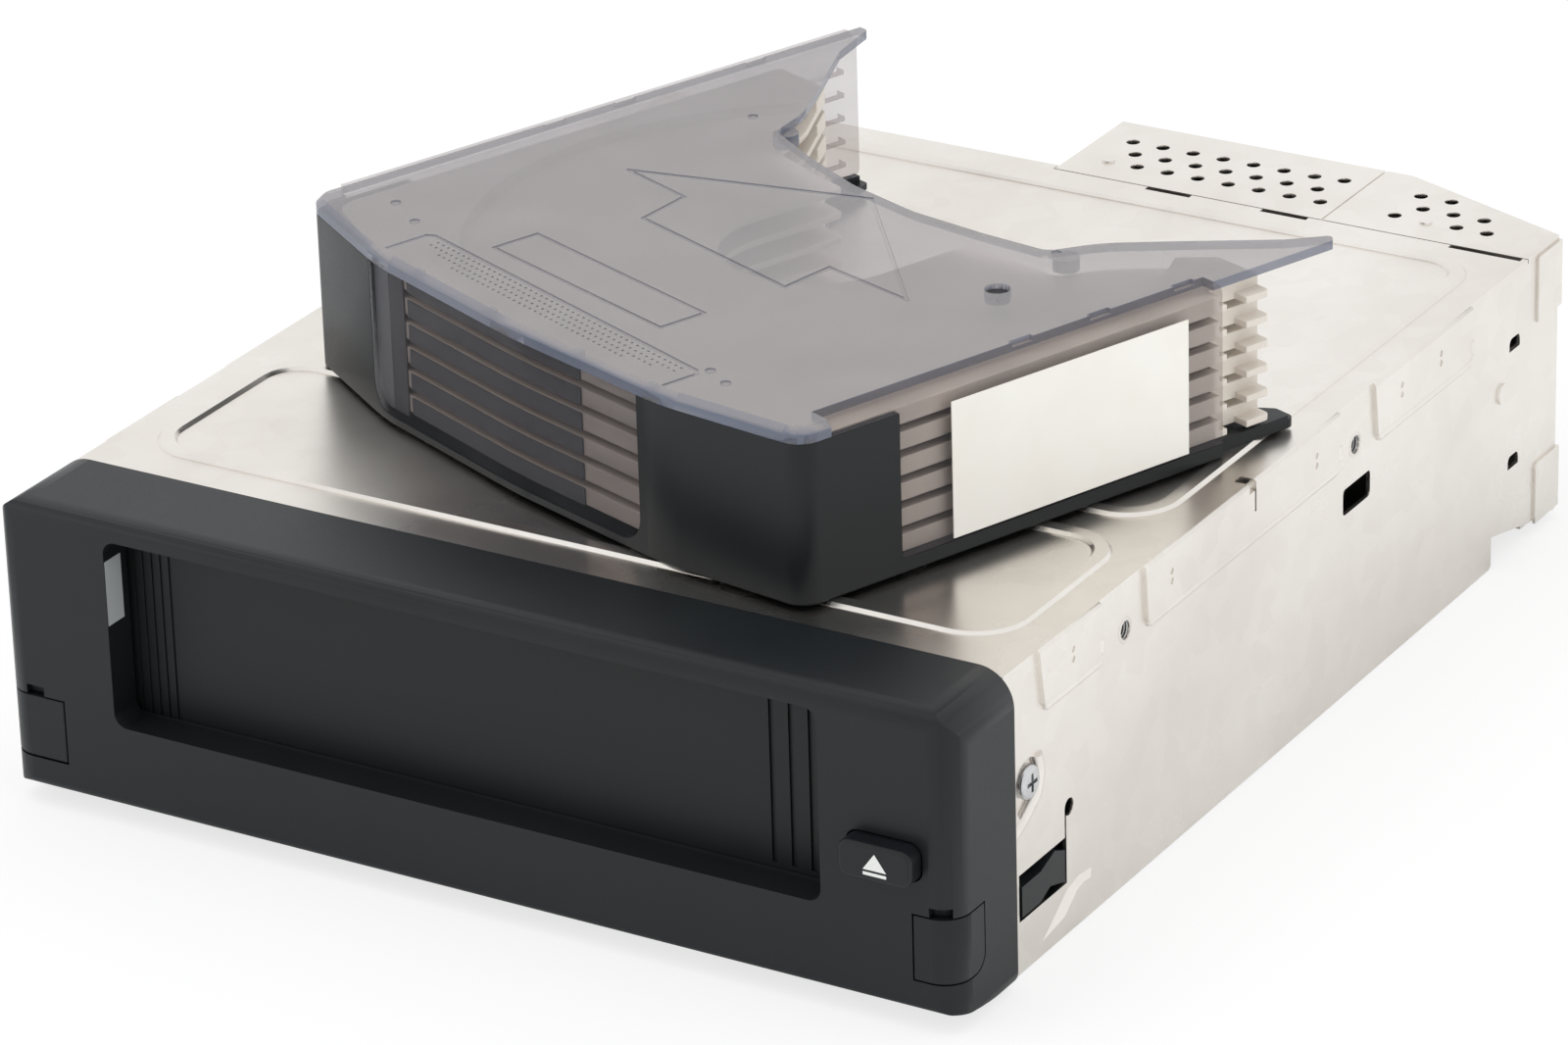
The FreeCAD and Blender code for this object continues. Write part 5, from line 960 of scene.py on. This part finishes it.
    def sleeve_pins(self) -> None:
        """Sleeves the pins of the harness socket in brass."""
        points = [at_depth(self.pin_first_mm + self.pin_pitch_mm * i, self.pin_depth_mm, z)
                  for z in self.pin_rows_mm for i in range(self.pin_columns)]
        settle(boxes("socket_pins", points, self.pin_mm, Look.BRASS), "chassis")

    def wind_spring(self) -> None:
        """Winds the eject spring where its solid is."""
        low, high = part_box("eject_spring")
        middle = (low + high) / 2
        radius = (high.z - low.z) / 2 - self.wire_mm * MM / 2
        sizes = {"Radius": radius, "Length": high.y - low.y, "Wire": self.wire_mm * MM,
                 "Turns": self.coil_turns}
        tree, given = tree_with("spring_coil", sizes)
        coil = add(tree, "GeometryNodeCurveSpiral", {"Resolution": 24}, {
            "Rotations": given.outputs["Turns"], "Start Radius": given.outputs["Radius"],
            "End Radius": given.outputs["Radius"], "Height": given.outputs["Length"]})
        half = add(tree, "ShaderNodeMath", {"operation": "DIVIDE", 1: 2.0}, {0: given.outputs["Wire"]})
        section = add(tree, "GeometryNodeCurvePrimitiveCircle", {"Resolution": 8}, {"Radius": half.outputs[0]})
        wire = add(tree, "GeometryNodeCurveToMesh", {"Fill Caps": True},
                   {"Curve": coil.outputs[0], "Profile Curve": section.outputs[0]})
        turned = add(tree, "GeometryNodeTransform",
                     {"Rotation": (-math.pi / 2, 0, 0), "Translation": (middle.x, low.y, middle.z)},
                     {"Geometry": wire.outputs[0]})
        end_tree(tree, turned.outputs[0], Look.SPRING)
        coil_piece = grown("eject_coil", tree, sizes)
        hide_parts("eject_spring")
        settle(coil_piece, "ejector")
        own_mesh(coil_piece)


@dataclass
class Magazine:
    """Smoky magazine with six cream trays, standing askew on the cover."""

    yaw: float = -20.98
    x_mm: float = -11.4
    depth_mm: float = 52.5
    stand_mm: float = 54.8
    high_mm: float = 31.0
    bow_mm: float = 11.2
    shoulder_mm: tuple = (38.6, -9.7)
    crown_mm: float = 1.65
    crown_fall_mm: float = 1.5
    grip_half_mm: float = 35.5
    grip_pitch_mm: float = 1.5
    grip_rows: int = 4
    grip_fewest: int = 2
    grip_back_mm: float = -0.8
    grip_lean: float = 0.027
    grip_sunk_mm: float = 0.03
    dot_radius_mm: float = 0.3
    dot_flatness: float = 0.2
    rib_places_mm: tuple = (-29.3, -7.8, 15.6, 34.4)
    rib_wide_mm: float = 1.7
    rib_deep_mm: float = 3.0
    rib_gap_mm: float = 0.25
    rib_levels_mm: tuple = ((28.4, 0.3), (29.9, 1.2))
    wall_mm: float = 1.5
    tray_first_mm: float = 3.0
    tray_pitch_mm: float = 4.45
    bar_mm: tuple = (-32.0, 16.8)
    bar_high_mm: float = 3.0
    bar_lift_mm: float = 0.05
    shade_sheet_mm: tuple = (-41.8, -33.2)
    shade_sheet_heights_mm: tuple = (2.2, 28.0)
    strip_gap_mm: float = 0.1
    strip_thick_mm: float = 0.24
    strip_steps: int = 16
    hole_shade_place_mm: tuple = (43.2, 56.9)
    hole_shade_radius_mm: float = 2.1
    hole_shade_heights_mm: tuple = (28.8, 30.1)
    hole_shade_sides: int = 32

    def build(self) -> None:
        """Dresses the mouldings, lays the small fittings of the lid and sets dark pieces of painted shade into
        the lid's hole, the trays' fronts and the window.
        """
        dress("magazine_base", Look.BLACK_ABS)
        dress("magazine_lid", Look.SMOKY_LID)
        dress("magazine_front_window", Look.SMOKY_WINDOW)
        for node in ("magazine_side_right", "magazine_side_left"):
            dress(node, Look.SMOKY_SIDE)
        dress("magazine_label", Look.PAPER)
        for i in range(1, TRAYS + 1):
            dress(f"tray_{i}", Look.CREAM_PS)
        self.lay_grip()
        self.shade_trays()
        self.stand_ribs()
        self.shade_lid_hole()
        for node, width in (("magazine_base", 0.35), ("magazine_lid", 0.25), ("magazine_front_window", 0.25),
                            ("magazine_side_right", 0.2), ("magazine_side_left", 0.2)):
            soften(node, width)
        for i in range(1, TRAYS + 1):
            soften(f"tray_{i}", 0.2)

    def point(self, u_mm: float, v_mm: float, z_mm: float) -> Vector:
        """Row frame point from the magazine's own width, depth and height.

        Args:
            u_mm: To the right of its middle.
            v_mm: Behind its front corners.
            z_mm: Above its underside.

        Returns:
            The point in metres.
        """
        turned = Matrix.Rotation(math.radians(self.yaw), 3, "Z") @ Vector((u_mm, v_mm, z_mm))
        return at_depth(turned.x + self.x_mm, turned.y + self.depth_mm, turned.z + self.stand_mm)

    def lay_grip(self) -> None:
        """Lays rows of fine dots in the grip strip at the lid's front, fewer towards both ends."""
        points = []
        count = int(self.grip_half_mm / self.grip_pitch_mm)
        for i in range(-count, count + 1):
            u = i * self.grip_pitch_mm
            back = self.grip_back_mm - self.grip_lean * u
            share = 1 - (u / self.grip_half_mm) ** 2
            rows = min(self.grip_rows, self.grip_fewest + int(self.grip_rows * share))
            for row in range(rows):
                points.append(self.point(u, back - row * self.grip_pitch_mm, self.high_mm - self.grip_sunk_mm))
        sizes = {"Radius": self.dot_radius_mm * MM}
        tree, given = tree_with("grip_dots", sizes)
        dot = add(tree, "GeometryNodeMeshUVSphere", {"Segments": 8, "Rings": 5},
                  {"Radius": given.outputs["Radius"]})
        flat = add(tree, "GeometryNodeTransform", {"Scale": (1, 1, self.dot_flatness)},
                   {"Geometry": dot.outputs[0]})
        laid = add(tree, "GeometryNodeInstanceOnPoints", links={"Points": given.outputs["Geometry"],
                                                                "Instance": flat.outputs[0]})
        # The dots take the darker copy of the lid's tint, as painted shade.
        end_tree(tree, laid.outputs[0], Look.SMOKY_DARK)
        settle(grown("grip_dots", tree, sizes, points), "magazine")

    def front_depth(self, u_mm: float) -> float:
        """Depth of the bowed front's outer face at a width, between its two shoulders."""
        width, depth = self.shoulder_mm
        return max(-self.bow_mm, depth - self.crown_mm + self.crown_fall_mm * abs(u_mm) / width)

    def stand_ribs(self) -> None:
        """Stands clear clip ribs inside the lid's front skirt."""
        half = self.rib_wide_mm / 2
        rings = []
        for u in self.rib_places_mm:
            front = self.front_depth(u) + self.rib_gap_mm
            back = front + self.rib_deep_mm
            foot, head = ([self.point(u - half, front + setback, z), self.point(u + half, front + setback, z),
                           self.point(u + half, back, z), self.point(u - half, back, z)]
                          for z, setback in self.rib_levels_mm)
            rings.append((head, foot))
        settle(prisms("lid_clip_ribs", rings, Look.MILKY), "magazine")

    def shade_lid_hole(self) -> None:
        """Sets a short black cylinder into the round hole of the lid as painted shade, so that the hole reads
        dark.
        """
        u, v = self.hole_shade_place_mm
        radius = self.hole_shade_radius_mm
        turns = [math.tau * i / self.hole_shade_sides for i in range(self.hole_shade_sides)]
        foot, head = ([self.point(u + radius * math.cos(turn), v + radius * math.sin(turn), z)
                       for turn in turns] for z in self.hole_shade_heights_mm)
        settle(prisms("lid_hole_painted_shade", [(head, foot)], Look.BLACK_POM), "magazine")

    def shade_trays(self) -> None:
        """Sets a dark strip of painted shade into the middle of every tray's front, and a dark sheet of
        painted shade behind the left part of the front window.
        """
        for tray in range(TRAYS):
            low = self.tray_first_mm + tray * self.tray_pitch_mm + self.bar_lift_mm
            bar = self.bowed_strip(f"tray_{tray + 1}_shade_bar", *self.bar_mm, low, low + self.bar_high_mm,
                                   Look.PAINTED_SHADE_GREY)
            settle(bar, f"disc_tray_{tray + 1}")
        shade_sheet = self.bowed_strip("window_painted_shade", *self.shade_sheet_mm, *self.shade_sheet_heights_mm, Look.PAINTED_SHADE_GREY)
        settle(shade_sheet, "magazine")

    def bowed_strip(self, name: str, left_mm: float, right_mm: float, low_mm: float, high_mm: float,
                    look: Look) -> Object:
        """Makes a thin upright strip that follows the inside of the bowed front.

        Args:
            name: Piece name.
            left_mm: Width at which it starts.
            right_mm: Width at which it ends.
            low_mm: Lower edge.
            high_mm: Upper edge.
            look: Finish.

        Returns:
            The new object.
        """
        steps = self.strip_steps
        points, faces = [], []
        for i in range(steps + 1):
            u = left_mm + (right_mm - left_mm) * i / steps
            front = self.front_depth(u) + self.wall_mm + self.strip_gap_mm
            for v in (front, front + self.strip_thick_mm):
                points += [self.point(u, v, low_mm), self.point(u, v, high_mm)]
        for i in range(steps):
            a, b = 4 * i, 4 * i + 4
            faces += [(a, b, b + 1, a + 1), (a + 2, a + 3, b + 3, b + 2), (a + 1, b + 1, b + 3, a + 3),
                      (a, a + 2, b + 2, b)]
        end = 4 * steps
        faces += [(0, 1, 3, 2), (end, end + 2, end + 3, end + 1)]
        return plain_mesh(name, points, faces, look)


@dataclass
class Studio:
    """Pale floor, soft lights and the camera."""

    azimuth: float = 31.387
    elevation: float = 24.594
    roll: float = -1.691
    distance_mm: float = 1210.2
    target_mm: tuple = (18.82, 70.92, 45.09)
    lens_mm: float = 167.4
    floor_size: float = 6.0
    floor_glow: float = 0.75

    def build(self) -> None:
        """Makes the floor, the world, the lamps and the camera."""
        bpy.context.scene.view_settings.view_transform = "Standard"
        self.lay_floor()
        self.make_world()
        centre = at_depth(*self.target_mm)
        self.lamp("key_softbox", Vector((-0.9, -0.9, 1.5)), centre, 2.4, 26.0)
        self.lamp("right_softbox", Vector((1.5, 0.1, 0.8)), centre, 2.2, 12.0)
        self.lamp("top_softbox", Vector((0.1, 0.5, 1.8)), centre, 2.6, 16.0)
        self.place_camera(centre)

    def lay_floor(self) -> None:
        """Lays a plain pale floor that shows white to the camera and keeps the shadow."""
        half = self.floor_size / 2
        mesh = bpy.data.meshes.new("floor")
        corners = [(-half, -half, 0), (half, -half, 0), (half, half, 0), (-half, half, 0)]
        mesh.from_pydata(corners, [], [(0, 1, 2, 3)])
        floor = bpy.data.objects.new("floor", mesh)
        floor.location.z = -0.0002
        bpy.context.scene.collection.objects.link(floor)
        material = bpy.data.materials.new("studio_floor")
        material.use_nodes = True
        tree = material.node_tree
        tree.nodes.clear()
        paint = add(tree, "ShaderNodeBsdfDiffuse", {"Color": hex_colour("#f4f4f3")})
        glow = add(tree, "ShaderNodeEmission", {"Color": (1, 1, 1, 1), "Strength": 1.0})
        path = add(tree, "ShaderNodeLightPath")
        seen = add(tree, "ShaderNodeMath", {"operation": "MULTIPLY", 1: self.floor_glow},
                   {0: path.outputs["Is Camera Ray"]})
        mix = add(tree, "ShaderNodeMixShader",
                  links={0: seen.outputs[0], 1: paint.outputs[0], 2: glow.outputs[0]})
        add(tree, "ShaderNodeOutputMaterial", links={"Surface": mix.outputs[0]})
        mesh.materials.append(material)

    def make_world(self) -> None:
        """Makes a world that is white to camera and mirrors and softer as a light."""
        world = bpy.data.worlds.new("studio_world")
        bpy.context.scene.world = world
        world.use_nodes = True
        tree = world.node_tree
        tree.nodes.clear()
        soft = add(tree, "ShaderNodeBackground", {"Color": hex_colour("#f6f8fb"), "Strength": 0.5})
        white = add(tree, "ShaderNodeBackground", {"Color": (1, 1, 1, 1), "Strength": 1.0})
        path = add(tree, "ShaderNodeLightPath")
        first = add(tree, "ShaderNodeMath", {"operation": "MAXIMUM"},
                    {0: path.outputs["Is Camera Ray"], 1: path.outputs["Is Glossy Ray"]})
        seen = add(tree, "ShaderNodeMath", {"operation": "MAXIMUM"},
                   {0: first.outputs[0], 1: path.outputs["Is Transmission Ray"]})
        mix = add(tree, "ShaderNodeMixShader",
                  links={0: seen.outputs[0], 1: soft.outputs[0], 2: white.outputs[0]})
        add(tree, "ShaderNodeOutputWorld", links={"Surface": mix.outputs[0]})

    def lamp(self, name: str, place: Vector, target: Vector, size: float, power: float) -> None:
        """Hangs a square softbox that faces the target and is not mirrored in the metal.

        Args:
            name: Lamp name.
            place: Position.
            target: Point that it faces.
            size: Side length.
            power: Watts.
        """
        data = bpy.data.lights.new(name, "AREA")
        data.shape = "SQUARE"
        data.size = size
        data.energy = power
        lamp = bpy.data.objects.new(name, data)
        lamp.location = place
        lamp.visible_glossy = False
        lamp.rotation_mode = "QUATERNION"
        lamp.rotation_quaternion = (target - place).to_track_quat("-Z", "Y")
        bpy.context.scene.collection.objects.link(lamp)

    def place_camera(self, target: Vector) -> None:
        """Places the camera on the target.

        Args:
            target: Point in the middle of the picture.
        """
        a, e, r = (math.radians(v) for v in (self.azimuth, self.elevation, self.roll))
        ahead = Vector((-math.sin(a) * math.cos(e), math.cos(a) * math.cos(e), -math.sin(e)))
        right = Vector((math.cos(a), math.sin(a), 0))
        up = right.cross(ahead)
        across = right * math.cos(r) + up * math.sin(r)
        above = up * math.cos(r) - right * math.sin(r)
        data = bpy.data.cameras.new("view_camera")
        data.sensor_width = 36.0
        data.lens = self.lens_mm
        data.clip_start, data.clip_end = 0.05, 20
        camera = bpy.data.objects.new("view_camera", data)
        bpy.context.scene.collection.objects.link(camera)
        turn = Matrix((across, above, -ahead)).transposed().to_4x4()
        camera.matrix_world = Matrix.Translation(target - ahead * self.distance_mm * MM) @ turn
        bpy.context.scene.camera = camera


def main() -> None:
    """Builds the studio and every sub-assembly."""
    logging.basicConfig(level=logging.INFO, format="%(message)s")
    parts = (Studio(), FrontPanel(), SlidingDoor(), SteelCase(), Works(), Magazine())
    for part in parts:
        LOG.info("building %s", type(part).__name__)
        part.build()


if __name__ == "__main__":
    main()
